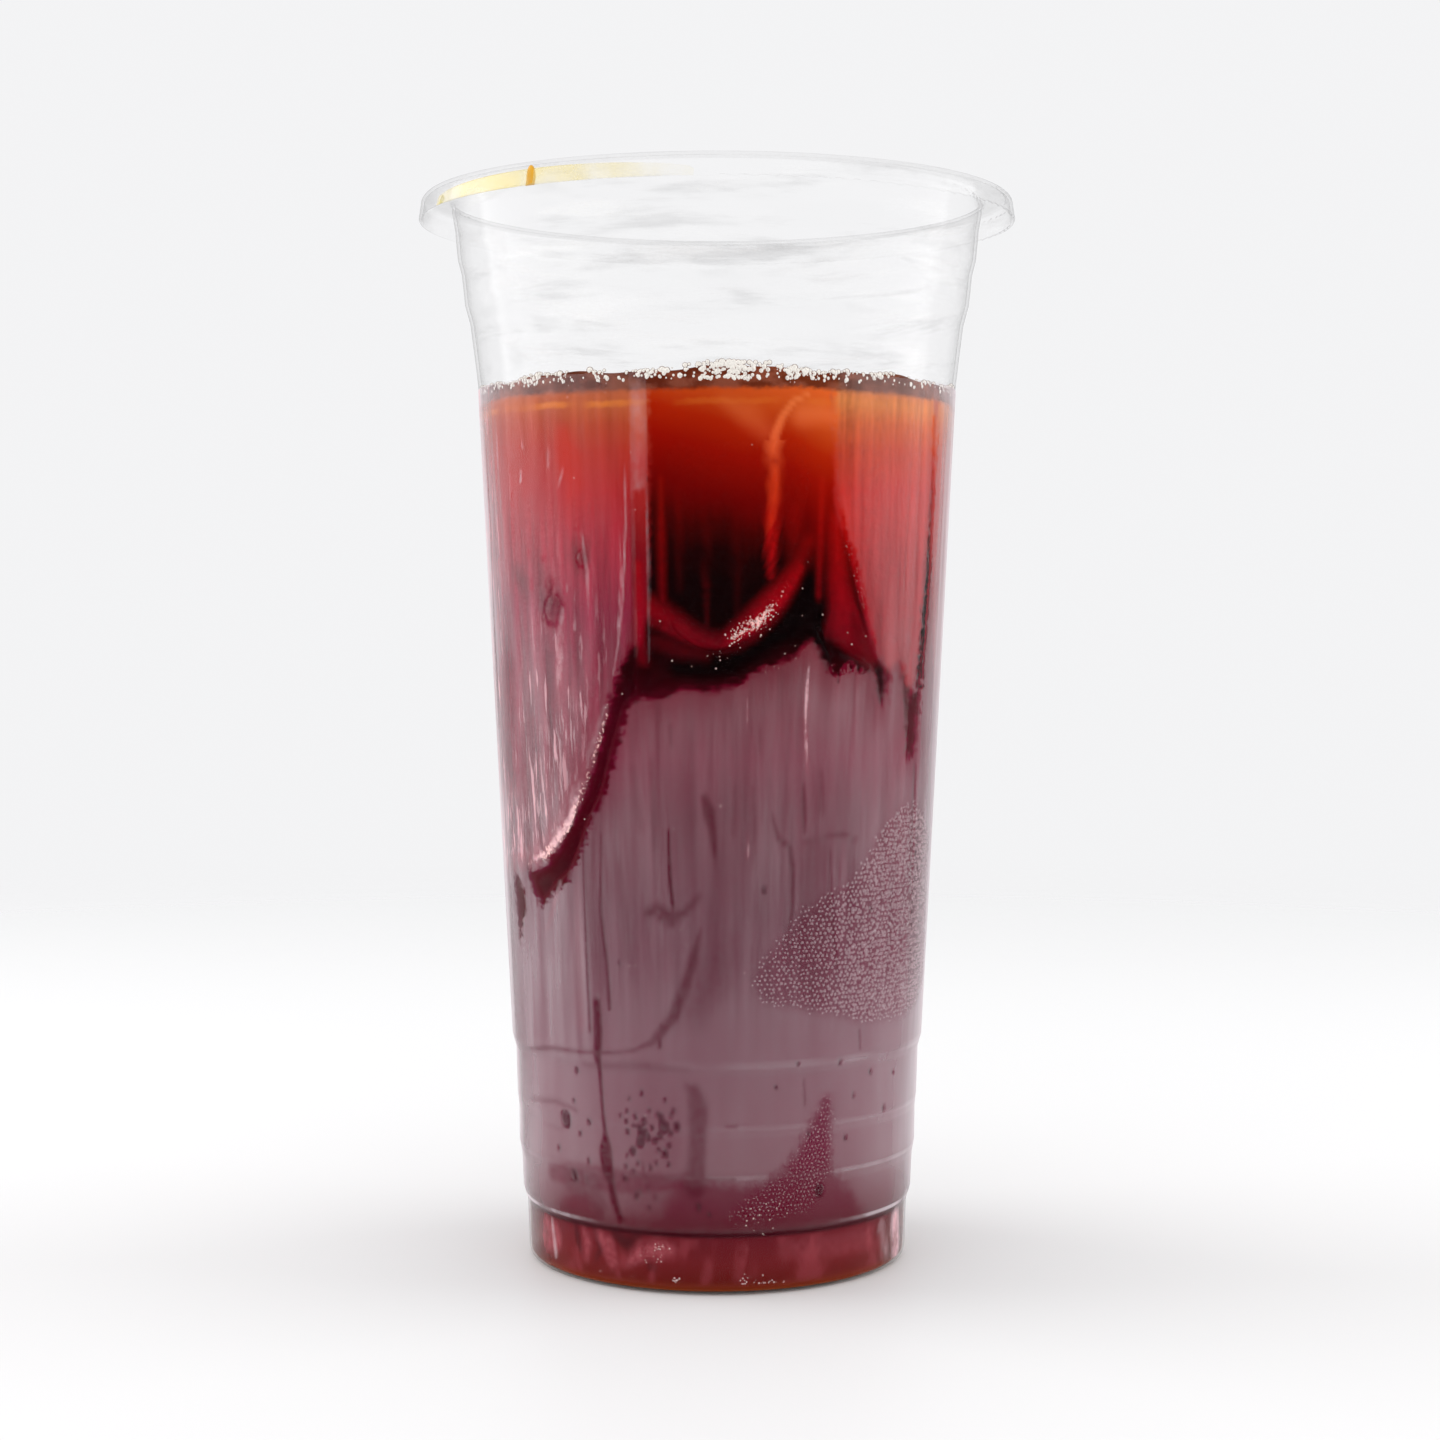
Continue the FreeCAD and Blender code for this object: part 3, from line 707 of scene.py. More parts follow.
def wall_cosine(spot):
    """The cosine of the angle between the eye and the cup's wall."""
    outward = spot.node("ShaderNodeVectorMath", {"operation": "MULTIPLY"}, {0: spot, 1: (1.0, 1.0, 0.0)})
    return spot.head_on(Normal=spot.node("ShaderNodeVectorMath", {"operation": "NORMALIZE"}, {0: outward}))


def thinness(spot, height):
    """How far the coffee is see-through: at the rim of its outline, where the eye meets little of it."""
    return (wall_cosine(spot) - height.ease(12.0, 7.0) * 0.08).ease(0.48, 0.08) * 0.5


def coffee():
    """Glossy coffee, solid in colour but for its rim. On top it is darker, with amber where ice lies just
    under the surface."""
    made, wire, spot, height = material("iced_coffee")
    paint = coffee_paint(wire, spot, height)
    inside = 1.0 - wire.attribute("rim").ease(0.5, 0.98)
    swirl = spot.speckle(45.0, 3.0, 0.55)
    bent = spot.node("ShaderNodeVectorMath", {"operation": "ADD"}, {0: spot, 1: swirl.scaled(0.01)})
    apart = {"Vector": bent, "Scale": 40.0, "Randomness": 0.8}
    sunken = wire.node("ShaderNodeTexVoronoi", {"feature": "DISTANCE_TO_EDGE"}, apart).ease(0.03, 0.16)
    floes = sunken * spot.speckle(30.0, 2.0, 0.5).ease(0.36, 0.58)
    dark = swirl.ease(0.35, 0.7).mixed((0.022, 0.0036, 0.0018), (0.06, 0.012, 0.0045))
    surface = (floes * 0.85).mixed(dark, (0.21, 0.07, 0.022))
    body = wire.body(inside.mixed(paint, surface), 0.16, 1.33, 0.02)
    thin = thinness(spot, height) * (1.0 - inside)
    return finish(made, thin.over(body, wire.clear((1.0, 0.97, 0.96))))


drink = drink_mesh()
store(drink.data, coffee_marks)
x, y, z = vertices_mm(drink.data)
keep(drink.data, "rim", np.where((np.hypot(x, y) < 35.5) & (z > level_mm - 0.1), 0.0, 1.0))
drink.data.materials.append(coffee())
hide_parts("coffee")
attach(drink, "root")

# The ice. Rounded lumps lean against the wall just under the surface. Their faces lie in the wall with the
# coffee, and their lower rims, rounded by melting, stand out above the shaded hollows.

FACE_MM = 0.3  # how far a lump's flat face reaches into the wall, just past the drink
RIM_MM = 3.0  # how far its rounded rim turns in
THICK_MM = 14.0  # how far it goes into the drink beyond that
ICE_TOP_MM = 141.0  # where the highest ice ends, just under the level
SIDE_TURN = 92  # degrees at which ice that would go on behind the cup ends


def closed_curve(corners, count):
    """A smooth closed line through corners, by the Catmull-Rom rule, as count points."""
    corners = np.array(corners, float)
    share = np.linspace(0.0, len(corners), count, endpoint=False)
    i = share.astype(int)
    f = (share - i)[:, None]
    a, b, c, d = (corners[(i + k) % len(corners)] for k in (-1, 0, 1, 2))
    return 0.5 * (2 * b + (c - a) * f + (2 * a - 5 * b + 4 * c - d) * f**2 + (3 * b - a - 3 * c + d) * f**3)


def behind(turn, height):
    """The turn and height behind the cup whose folded place is the one given."""
    beyond = np.linspace(90.0, 0.0, 181)
    mirrored = 90.0 - beyond + BACK_WARP * np.sin(np.radians(2.0 * beyond))
    beyond = np.interp(np.abs(turn), mirrored, beyond)
    low = height
    for _ in range(8):
        low = height - drop_mm(beyond, low)
    return np.sign(turn) * (90.0 + beyond), low


def lump(name, outline, back=False):
    """A lump of ice: its outline drawn in to its middle, front and back. The front keeps to the wall and
    falls away at the rim as a quarter round; the back is a deeper dome."""
    corners = [(np.clip(turn, -SIDE_TURN, SIDE_TURN), min(height, ICE_TOP_MM)) for turn, height in outline]
    edge = closed_curve(corners, 120)
    edge[:, 1] = np.minimum(edge[:, 1], ICE_TOP_MM)
    middle = edge.mean(0)
    half = np.linspace(0.0, math.pi, 41)[:, None]
    share = np.sin(half)
    turn = middle[0] + (edge[:, 0] - middle[0]) * share
    height = middle[1] + (edge[:, 1] - middle[1]) * share
    rim = RIM_MM * (1.0 - np.sqrt(np.clip(1.0 - share**8, 0.0, 1.0)))
    dome = RIM_MM + THICK_MM * np.sqrt(np.clip(1.0 - share**2.5, 0.0, 1.0))
    depth = np.where(half < math.pi / 2.0, rim, dome)
    if back:
        turn, height = behind(turn, height)
    return grid_mesh(name, turned(wall_in(height) + FACE_MM - depth, turn, height))


def wet_ice():
    """Ice in coffee: the coffee's own colour, glossier, dented by melting."""
    made, wire, spot, height = material("ice_in_coffee")
    dents = spot.speckle(500.0, 2.0, 0.5)
    bump = wire.node("ShaderNodeBump", None, {"Strength": 0.5, "Distance": 0.0008, "Height": dents})
    body = wire.body(coffee_paint(wire, spot, height), 0.2, 1.31, 0.03, Normal=bump)
    return finish(made, thinness(spot, height).over(body, wire.clear((1.0, 0.97, 0.96))))


ice_finish = wet_ice()
for place, outline in (("left", LEFT_ICE), ("middle", MIDDLE_ICE), ("right", RIGHT_ICE), ("side", SIDE_ICE)):
    for name, back in (("ice_" + place, False), ("ice_" + place + "_behind", True)):
        ice = lump(name, outline, back)
        store(ice.data, coffee_marks)
        ice.data.materials.append(ice_finish)
        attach(ice, "root")

# The mist. Water too fine to see as drops has settled on the cold wall. It lets the coffee's colour through
# as a dusty mauve, thickens to grey along the edge, and is gone where ice windows, runs and drips are. Some
# of its pale strokes and ledge lines are painted highlights, one broad strip is a painted reflection, and the
# dark lines along the ledges, where it thins, are painted shade.

MIST_MM = 0.04  # how far it stands off the wall
BARE_FOOT = [
    (-9, 19.2), (-6, 18.4), (0, 18.2), (8, 18), (13, 18.5), (18, 20), (22, 23), (26, 27.5), (30, 31),
    (33, 31.5), (33.5, 24), (34.5, 20), (38, 17), (43, 13.5), (48, 10.6), (48, 9.9), (-54, 9.9), (-53, 11),
    (-50, 13.3), (-45, 14.8), (-40, 14.3), (-36, 12.6), (-33, 11.2), (-30, 11.6), (-24, 12.2), (-19, 12),
    (-16, 13), (-13, 15.5), (-11, 18),
]
BEADED = [
    [(8.5, 49.2), (11, 53), (16, 56.5), (21, 60.5), (28, 63), (36, 65), (41, 68.5), (46, 73), (55, 76.5),
     (65, 76), (76, 70), (80, 46), (70, 42.6), (60, 41.8), (50, 41.6), (40, 42), (30, 43.6), (22, 44.8),
     (12, 46)],
    [(30, 31.5), (33, 31), (34, 24), (33.2, 19.5), (31, 16), (26, 12.8), (18, 11.8), (2, 11.6), (4, 14),
     (12, 17.5), (18, 20), (22, 23), (26, 27.5)],
]
# Pale strokes raise the mist's pale cover. Some are thicker mist and hairlines; the broad strip at -17.8
# degrees is a painted reflection, and the strokes along and above the left ice rim are painted highlights.
PALE_STROKES = [
    (0.17, 0.2, [(-17.8, 143, 0.95), (-17.8, 126, 0.95)]),
    (0.15, 0.2, [(-19.5, 143, 0.15), (-19.5, 128, 0.12), (-19.4, 100, 0.08)]),
    (0.17, 0.2, [(-16.1, 143, 0.15), (-16.1, 124, 0.12), (-15.9, 113, 0.18), (-16, 99, 0.06)]),
    (0.3, 0.15, [(-21, 130, 0.05), (-21.5, 118, 0.15), (-22.6, 108, 0.2), (-24, 101.5, 0.2),
        (-25.5, 97, 0.2)]),
    (0.35, 0.15, [(-22.5, 122, 0.05), (-22.8, 112, 0.1), (-24, 104, 0.1)]),
    (0.28, 0.25, [(-33, 119, 0.1), (-31.7, 113, 0.35), (-31.8, 106, 0.25)]),
    (0.3, 0.2, [(-38.5, 113, 0.1), (-37.8, 110, 0.2)]),
    (0.25, 0.3, [(-35.5, 110, 0.2), (-36, 104, 0.3)]),
    (0.34, 0.6, [(-39.5, 107, 0.2), (-40.6, 102, 0.9), (-41.5, 97, 0.8), (-42.2, 92, 0.3)]),
    (0.35, 0.2, [(-43.5, 103, 0.1), (-41.5, 100, 0.2)]),
    (0.28, 0.3, [(-54, 140, 0.2), (-52.3, 135, 0.3), (-51.6, 132.5, 0.2)]),
    (0.28, 0.3, [(-52.6, 129, 0.2), (-53, 127, 0.3)]),
    (0.2, 0.3, [(-42, 134, 0.2), (-42.5, 129, 0.3)]),
    (0.25, 0.3, [(-38, 128.5, 0.3), (-39.5, 126, 0.2)]),
    (0.24, 1.2, [(-68, 66.8, 0.3), (-60, 67.6, 0.6), (-51, 69.2, 1.2), (-44, 73, 1.3), (-38.5, 77.6, 1.2),
        (-34.5, 82, 0.9), (-30.5, 88, 0.4), (-28, 92, 0.2)]),
    (0.55, 0.5, [(-56, 67.2, 0.2), (-50, 68.6, 0.6), (-45, 70.9, 0.8), (-40, 74.2, 0.7), (-37.3, 77.6, 0.4)]),
    (0.35, 0.15, [(-48, 77, 0.1), (-47.4, 83.5, 0.2)]),
    (0.32, 0.15, [(-45.6, 78, 0.1), (-45.3, 82.5, 0.2)]),
    (0.36, 0.15, [(-43, 77.5, 0.15), (-42.4, 83, 0.15)]),
    (0.34, 0.15, [(-41, 79, 0.1), (-40.6, 86, 0.2)]),
    (0.34, 0.15, [(-37.4, 81, 0.2), (-36.6, 86, 0.2)]),
    (0.34, 0.15, [(-35, 83, 0.1), (-34, 88, 0.2)]),
    (0.62, 0.25, [(22.2, 98, 0.1), (21.9, 94, 0.3), (21.7, 90, 0.25), (22.1, 86, 0.3), (22.7, 81.5, 0.1)]),
    (0.5, 0.12, [(7.6, 72.5, 0.1), (7.6, 68.8, 0.2)]),
    (0.35, 0.12, [(7.4, 94, 0.1), (7.3, 90, 0.15)]),
    (0.26, 0.6, [(-57, 8.5, 0.4), (-55.5, 3.5, 0.5)]),
    (0.22, 1.5, [(57, 7.5, 1), (60, 3, 1.2)]),
    (0.4, 1.5, [(67, 7.5, 2), (68, 3, 2)]),
    (0.2, 0.4, [(-50, 56.5, 0.3), (-46.5, 61, 0.5), (-44, 64, 0.3)]),
    (0.13, 0.8, [(-38, 64, 0.6), (-38.5, 55, 1), (-38.5, 42, 1)]),
]
WIPED_STROKES = [
    (0.92, 0.25, [(-17.8, 126, 0.95), (-17.6, 96, 0.95)]),
    (0.48, 0.7, [(-54, 17, 1.4), (-45, 17.5, 2), (-35, 17.6, 2.2), (-20, 17.8, 1.6), (-8, 18.2, 1)]),
    (0.42, 1.6, [(-27.5, 105, 0.4), (-29.8, 98, 1.6), (-31.6, 92, 1.4), (-33.5, 87, 0.4)]),
    (0.7, 0.4, [(-72.6, 137, 0.4), (-74.5, 108, 0.5), (-76, 88, 0.5)]),
    (0.42, 3, [(-63, 97, 3), (-62, 80, 4), (-62, 66, 5), (-68, 52, 4), (-72, 20, 2)]),
]
# Ledges carry painted highlights on the mist: a pale line where each slope catches the light and a lighter
# band under it, both brighter towards the right.
LEDGES = [(18.9, 0.35, 0.12), (26.7, 0.4, 0.05), (36.6, 0.6, 0.08)]  # height, half width and strength
MIST_TOP_MM = level_mm + 0.6
MIST_ROWS = [(1.6, 12, 0.8), (12, 46, 0.42), (46, 92, 0.9), (92, MIST_TOP_MM, 0.75)]  # from, to, step in mm


def mist_marks(turn, height):
    """Where the mist is beaded, bare, pale in strokes, partly thicker mist and partly painted highlight and
    reflection, or wiped by runs and drops of water and by painted shade along the ledges.
    """
    return {
        "turn_deg": turn,
        "mark_mm": height,
        "clear_mm": deepest([FRONT_WINDOW, LEFT_SHADE, RIGHT_STROKE, LEFT_DRIP], turn, height),
        "left_mm": reach(LEFT_ICE, turn, height),
        "bare_mm": reach(BARE_FOOT, turn, height),
        "beaded_mm": deepest(BEADED, turn, height),
        "pale": brushed(PALE_STROKES, turn, height),
        "wet": brushed(WET_AND_SHADE_STROKES + WIPED_STROKES + spots(0.82), turn, height),
    }


def mist_mesh():
    """The outside of the wall up to the drink's level, a hair proud of it."""
    rows = np.concatenate([np.arange(*row) for row in MIST_ROWS])
    heights = np.unique(np.concatenate([rows, [MIST_TOP_MM], ring_mm[ring_mm < level_mm]]))
    turn = round_turns(270, 130)
    around, height = np.meshgrid(turn, heights)
    return grid_mesh("mist", turned(wall_out(height) + MIST_MM, around, height))


def mist_finish():
    """A thin matt veil. Its cover grows with the slant at which it is seen, as any thin veil's does. Its pale
    strokes, ledge lines and pink glints are painted highlights.
    """
    made, wire, spot, height = material("mist")
    turn, up, clear, left, bare, beaded, pale, wet = (
        wire.attribute(name)
        for name in ("turn_deg", "mark_mm", "clear_mm", "left_mm", "bare_mm", "beaded_mm", "pale", "wet")
    )
    smears = spot.speckle(75.0, 3.0, 0.6, (1.0, 1.0, 0.22)) - 0.5
    lines = spot.speckle(520.0, 3.0, 0.6, (1.0, 1.0, 0.045)) - 0.5
    hairs = spot.speckle(1500.0, 2.0, 0.5, (1.0, 1.0, 0.03)).ease(0.6, 0.85)
    ragged = spot.speckle(1000.0, 3.0, 0.6) - 0.5
    fine = ragged * 1.6 + lines * 1.6
    beside = turn.size()
    flank = turn.ease(-60.0, -72.0) * up.ease(104.0, 92.0) * height.ease(12.0, 20.0)
    cover = height.ease(9.8, 10.4) * 0.068 + height.ease(11.0, 21.0) * 0.1 + 0.012
    cover = cover - height.ease(44.0, 54.0) * 0.045 - height.ease(70.0, 80.0) * 0.012
    cover = cover + turn.ease(-26.0, -42.0) * height.ease(44.0, 52.0) * height.ease(84.0, 74.0) * 0.05
    streaky = up.ease(36.0, 58.0) * 0.85 + 0.15
    bands = spot.speckle(330.0, 1.0, 0.5, (1.0, 1.0, 0.02)).ease(0.35, 0.65) - 0.5
    right_side = turn.ease(38.0, 55.0) * turn.ease(73.0, 63.0) * height.ease(44.0, 54.0) * up.ease(92.0, 86.0)
    left_side = turn.ease(-26.0, -36.0) * height.ease(34.0, 40.0) * height.ease(100.0, 70.0)
    cover = cover * (1.0 - right_side * 0.26) * (bands * left_side * 0.5 + 1.0)
    cover = cover * (smears * 1.2 + 1.0) * (lines * streaky * 1.5 + 1.0) + hairs * streaky * 0.04
    # Painted highlights: pink slivers and streaks of glints on the left ice, below and above its rim.
    slivers = spot.speckle(900.0, 3.0, 0.6, (1.0, 1.0, 0.09)).ease(0.59, 0.67)
    cover = cover + slivers * 0.34 * left.ease(0.5, 3.0) * left.ease(28.0, 9.0) * up.ease(114.0, 100.0)
    cover = cover + slivers * 0.07 * left.ease(0.5, 3.0) * up.ease(100.0, 112.0)
    glint_streaks = spot.speckle(1500.0, 2.0, 0.5, (1.0, 1.0, 0.11)).ease(0.53, 0.64)
    cover = cover + glint_streaks * 0.22 * left.ease(1.5, 3.5) * left.ease(15.0, 7.0) * up.ease(96.0, 88.0)
    shoulder = beside.ease(18.0, 45.0) * 0.38 + beside.ease(52.0, 72.0) * 0.6 + 0.22
    high = up.ease(94.0, 108.0)
    cover = cover * (1.0 - high + high * shoulder) * (1.0 - up.ease(120.0, 139.0) * 0.35)
    cover = cover + up.ease(139.5, 141.0) * beside.ease(15.0, 35.0) * 0.05
    upper = up.ease(60.0, 80.0) * 0.45
    cover = cover * (clear.ease(0.0, -6.0) * upper + 1.0 - upper)
    # Painted highlights: pale lines on the foot's and the body's ledges where they catch the light, stronger
    # towards the right.
    rightward = turn.ease(-25.0, 30.0)
    fogged = spot.speckle(120.0, 2.0, 0.5, (1.0, 1.0, 0.2)).ease(0.3, 0.6)
    foot_line = (height - 10.6).size().ease(0.5, 0.1) * beside.ease(32.0, 50.0)
    cover = cover + foot_line * fogged * 0.42
    for ledge_mm, half_mm, strength in LEDGES:
        above = height - ledge_mm
        lit = above.size().ease(half_mm * 1.6, half_mm * 0.4)
        face = above.ease(-2.0, -1.2) * above.ease(0.2, -0.2) * 0.022
        cover = cover + lit * (rightward * 0.75 + 0.25) * fogged * strength + face * (rightward + 0.3)
    window = (clear + window_edge(spot, turn, up, fine) + 0.45).ease(-0.6, 0.6)
    cover = cover * (1.0 - flank * 0.28) * (1.0 - window * 0.99)
    cover = cover * (1.0 - (bare + fine * 1.6).ease(-1.4, 1.8) * 0.64)
    cover = cover * (1.0 - (beaded + fine).ease(-1.0, 2.0) * 0.45)
    # Runs and drops wipe the mist; the ledge strokes among them thin it too, as painted shade.
    cover = cover * (1.0 - (wet * (ragged * 1.1 + 1.0)).at_most(1.0))
    broken = spot.speckle(330.0, 2.0, 0.6, (1.0, 1.0, 0.5)).ease(0.3, 0.62) * 0.75 + 0.35
    cover = cover.at_least(pale * (ragged * 1.4 + 0.9) * broken).at_most(0.95)
    veil = 1.0 - (1.0 - cover) ** (1.0 / wall_cosine(spot).at_least(0.09))
    # Pale strokes and glints make the mist pinker as well as paler: partly painted highlight.
    rosy = (pale * 2.5 + (slivers + glint_streaks * 0.7) * left.ease(0.5, 3.0)).at_most(1.0)
    body = wire.body(rosy.mixed((0.62, 0.55, 0.58), (0.8, 0.5, 0.54)), 0.6, 1.33, 0.1)
    return finish(made, veil.over(wire.clear(), body))


mist = mist_mesh()
store(mist.data, mist_marks)
mist.data.materials.append(mist_finish())
mist.visible_shadow = mist.visible_diffuse = False
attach(mist, "root")

# The bubbles. A broken ring of fine froth floats where the drink meets the wall, in clumps of different
# thickness. Small pale balls along the ice's rims, and here and there on the wall, are painted glints:
# highlights put in as specks of light colour, with a few small bubbles among them.

chance = np.random.default_rng(7)


def stacked_mesh(name, points):
    """Many like shapes as one mesh, from points in mm: shapes by rings by sides by 3. Each ring closes."""
    index = np.arange(points[..., 0].size).reshape(points.shape[:3])
    here, below = index[:, :-1], index[:, 1:]
    quads = np.stack([here, below, np.roll(below, -1, 2), np.roll(here, -1, 2)], -1)
    return quad_mesh(name, points.reshape(-1, 3), quads.reshape(-1, 4))


def balls(name, centres, radii, rings=5, sides=8):
    """Many small balls as one mesh, each rings by sides, from centres and radii in mm."""
    polar = np.linspace(0.0, math.pi, rings + 1)[:, None]
    around = np.linspace(0.0, 2.0 * math.pi, sides, endpoint=False)[None, :]
    across = np.sin(polar) * np.cos(around), np.sin(polar) * np.sin(around)
    unit = np.stack(np.broadcast_arrays(*across, np.cos(polar)), -1)
    return stacked_mesh(name, centres[:, None, None, :] + radii[:, None, None, None] * unit)


CLUMPS = [
    (-46, 7, 0.8, 45), (-38, 3, 0.6, 16), (-27.5, 2.5, 1, 16), (-15, 5, 0.9, 44), (4, 8, 1.5, 150),
    (-3, 2, 1, 20), (18, 4, 1, 44), (23, 2.5, 0.8, 20), (29, 3, 0.6, 14), (42, 7, 0.4, 14),
    (-57, 6, 0.5, 16), (95, 20, 1.2, 120), (130, 12, 0.9, 60), (160, 14, 1.3, 110), (-105, 18, 1, 90),
    (-140, 14, 1.3, 100), (-168, 10, 0.8, 50),
]


ALL_ROUND = (0, 180, 0.5, 420)  # thin froth between the clumps
FLOATING, RAFTS, RAFT_REACH_MM = 520, 26, 34.0  # bubbles on the open surface, their groups, and how far out


def froth():
    """Bubbles that crowd where the coffee creeps up the wall, in clumps: a turn, a spread in degrees, a
    height in mm and a count. Each pokes out of the coffee's skin by part of its radius. More float on the
    surface in small rafts."""
    places, radii = [], []
    for turn, spread, tall, count in CLUMPS + [ALL_ROUND]:
        stray = chance.normal(0.0, 0.5, count) if spread < 90 else chance.uniform(-1.0, 1.0, count)
        at = turn + spread * stray
        radius = np.minimum(chance.gamma(3.0, 0.07, count) + 0.09, 0.55)
        lift = 1.0 - 1.5 * chance.uniform(0.0, 1.0, count) ** 1.7
        height = level_mm + np.where(lift > 0.0, lift * (creep_mm(at) + tall * 0.5), lift) - radius * 0.3
        places.append(turned(wall_in(height) + SKIN_MM - radius * 0.55, at, height))
        radii.append(radius)
    angle = np.radians(chance.uniform(0.0, 360.0, RAFTS))
    out = RAFT_REACH_MM * chance.uniform(0.1, 1.0, RAFTS) ** 0.5
    raft = chance.integers(0, RAFTS, FLOATING)
    across = chance.normal(0.0, 2.2, (FLOATING, 2))
    x = out[raft] * np.sin(angle[raft]) + across[:, 0]
    y = out[raft] * np.cos(angle[raft]) + across[:, 1]
    radius = np.minimum(chance.gamma(3.0, 0.06, FLOATING) + 0.09, 0.5)
    afloat = np.hypot(x, y) < wall_in(level_mm) - 1.0
    places.append(np.stack([x, y, level_mm + radius * 0.1], 1)[afloat])
    radii.append(radius[afloat])
    return np.concatenate(places), np.concatenate(radii)


def bubble_skin(name, colour, cover):
    """A bubble's film: pale and bright in the middle, with painted brown shade round its rim, where it is
    seen aslant.
    """
    made, wire, spot, _ = material(name)
    slant = wire.head_on()
    uneven = spot.speckle(2500.0, 1.0).ease(0.3, 0.7) * 0.25
    film = ((1.0 - slant) * 0.5 + cover + uneven).at_most(1.0)
    shade = slant.ease(0.78, 0.35).mixed(colour, (0.14, 0.065, 0.045))
    return finish(made, film.over(wire.clear(), wire.body(shade, 0.15, 1.33, 0.3)))


bubbles = balls("bubbles", *froth())
bubbles.data.materials.append(bubble_skin("bubble_film", (0.92, 0.88, 0.82), 0.72))
bubbles.visible_shadow = bubbles.visible_diffuse = False
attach(bubbles, "root")

# Lines along which pale specks gather, standing as painted highlights on the ice rims and the wall.
GLINT_LINES = [
    (130, 0.95, 0.05, 0.18, [(2.5, 102.7), (5, 103.5), (9, 104.9), (13, 107)]),
    (26, 1, 0.05, 0.12, [(12, 106), (16, 109.5), (21, 113)]),
    (6, 0.8, 0.05, 0.11, [(-4, 99.6), (-1, 100.6), (3, 100)]),
    (26, 0.5, 0.07, 0.14, [(12, 97.6), (18, 99.4), (22, 101.3)]),
    (120, 0.55, 0.07, 0.18, [(-52, 67.5), (-47, 69.2), (-43, 71.8), (-38, 76)]),
    (70, 0.45, 0.07, 0.16, [(-38, 76), (-34, 80.5), (-30, 87), (-27, 93)]),
    (40, 0.5, 0.07, 0.15, [(31.5, 118), (35, 113), (38, 107.5)]),
    (40, 0.8, 0.08, 0.2, [(7, 2.4), (11, 2.1), (17, 2)]),
    (20, 0.4, 0.08, 0.2, [(-13, 2.2), (-10, 2.2)]),
    (26, 1, 0.08, 0.18, [(-21, 6), (-15, 7.6)]),
    (30, 1.2, 0.08, 0.18, [(9, 12.6), (13, 12.8), (19, 14.2)]),
    (110, 16, 0.07, 0.17, [(-60, 112), (60, 112)]),
    (60, 18, 0.07, 0.15, [(-60, 60), (60, 60)]),
]


def glint_places():
    """Painted glints, and a few small bubbles, scattered about lines: how many, how far they stray in mm,
    their least and largest radius in mm, and the line. Each line has its like behind the cup."""
    places, radii = [], []
    for count, stray, least, most, line in GLINT_LINES:
        corners = np.array(line, float)
        for back in (False, True):
            share = chance.uniform(0.0, len(corners) - 1.0, count)
            turn = np.interp(share, np.arange(len(corners)), corners[:, 0])
            height = np.interp(share, np.arange(len(corners)), corners[:, 1])
            turn = turn + np.degrees(chance.normal(0.0, stray * 0.6, count) / ROUND_MM)
            height = np.clip(height + chance.normal(0.0, stray, count), 1.9, level_mm - 1.0)
            if back:
                turn, height = behind(turn, height)
            places.append(turned(wall_in(height) + 0.1, turn, height))
            radii.append(chance.uniform(least, most, count))
    return np.concatenate(places), np.concatenate(radii)


# Painted highlight: pale specks that stand for glints on the ice's rims.
glints = balls("glints_and_bubbles", *glint_places(), rings=4, sides=7)
glints.data.materials.append(bubble_skin("glint_and_bubble_film", (0.9, 0.66, 0.62), 0.45))
glints.visible_shadow = glints.visible_diffuse = False
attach(glints, "root")

# The beads and drops. In two patches on each side the mist has gathered into close, small beads, finer at
# the patch's edge. Elsewhere single drops hang, each wider below, and some are about to run.


def bead_places(outline, pitch):
    """Places about pitch mm apart inside an outline: a six-sided lattice, each point moved a little."""
    corners = np.array(outline, float)
    low, high = corners.min(0), corners.max(0)
    across = np.arange(0.0, np.radians(high[0] - low[0]) * ROUND_MM, pitch)
    up = np.arange(low[1], high[1], pitch * 0.87)
    x, y = np.meshgrid(across, up)
    x = (x + pitch * 0.5 * (np.arange(len(up)) % 2)[:, None]).ravel()
    x, y = x + chance.normal(0.0, pitch * 0.14, x.size), y.ravel() + chance.normal(0.0, pitch * 0.14, x.size)
    turn = low[0] + np.degrees(x / ROUND_MM)
    inside = reach(outline, turn, y)
    stays = chance.uniform(0.0, 1.0, x.size) < eased(inside, -0.5, 1.0) * 0.97
    return turn[stays], y[stays], inside[stays]


def domes(name, turn, height, radius, tall=1.0, rise=0.5):
    """Flattened half balls on the outside of the wall, each a middle point and three rings of eight, drawn
    down by tall and swollen below."""
    ring = np.array([0.0, 0.45, 0.8, 1.0])[:, None]
    side = np.linspace(0.0, 2.0 * math.pi, 8, endpoint=False)[None, :]
    across, up = ring * np.cos(side) * (1.0 - 0.12 * np.sin(side)), ring * np.sin(side)
    out = np.broadcast_to(np.sqrt(1.0 - ring**2), across.shape)
    at = height[:, None, None] + up[None] * (radius * tall)[:, None, None]
    standing = wall_out(at) + MIST_MM - 0.03 + out[None] * (radius * rise)[:, None, None]
    around = turn[:, None, None] + np.degrees(across[None] * radius[:, None, None] / standing)
    return stacked_mesh(name, turned(standing, around, at))


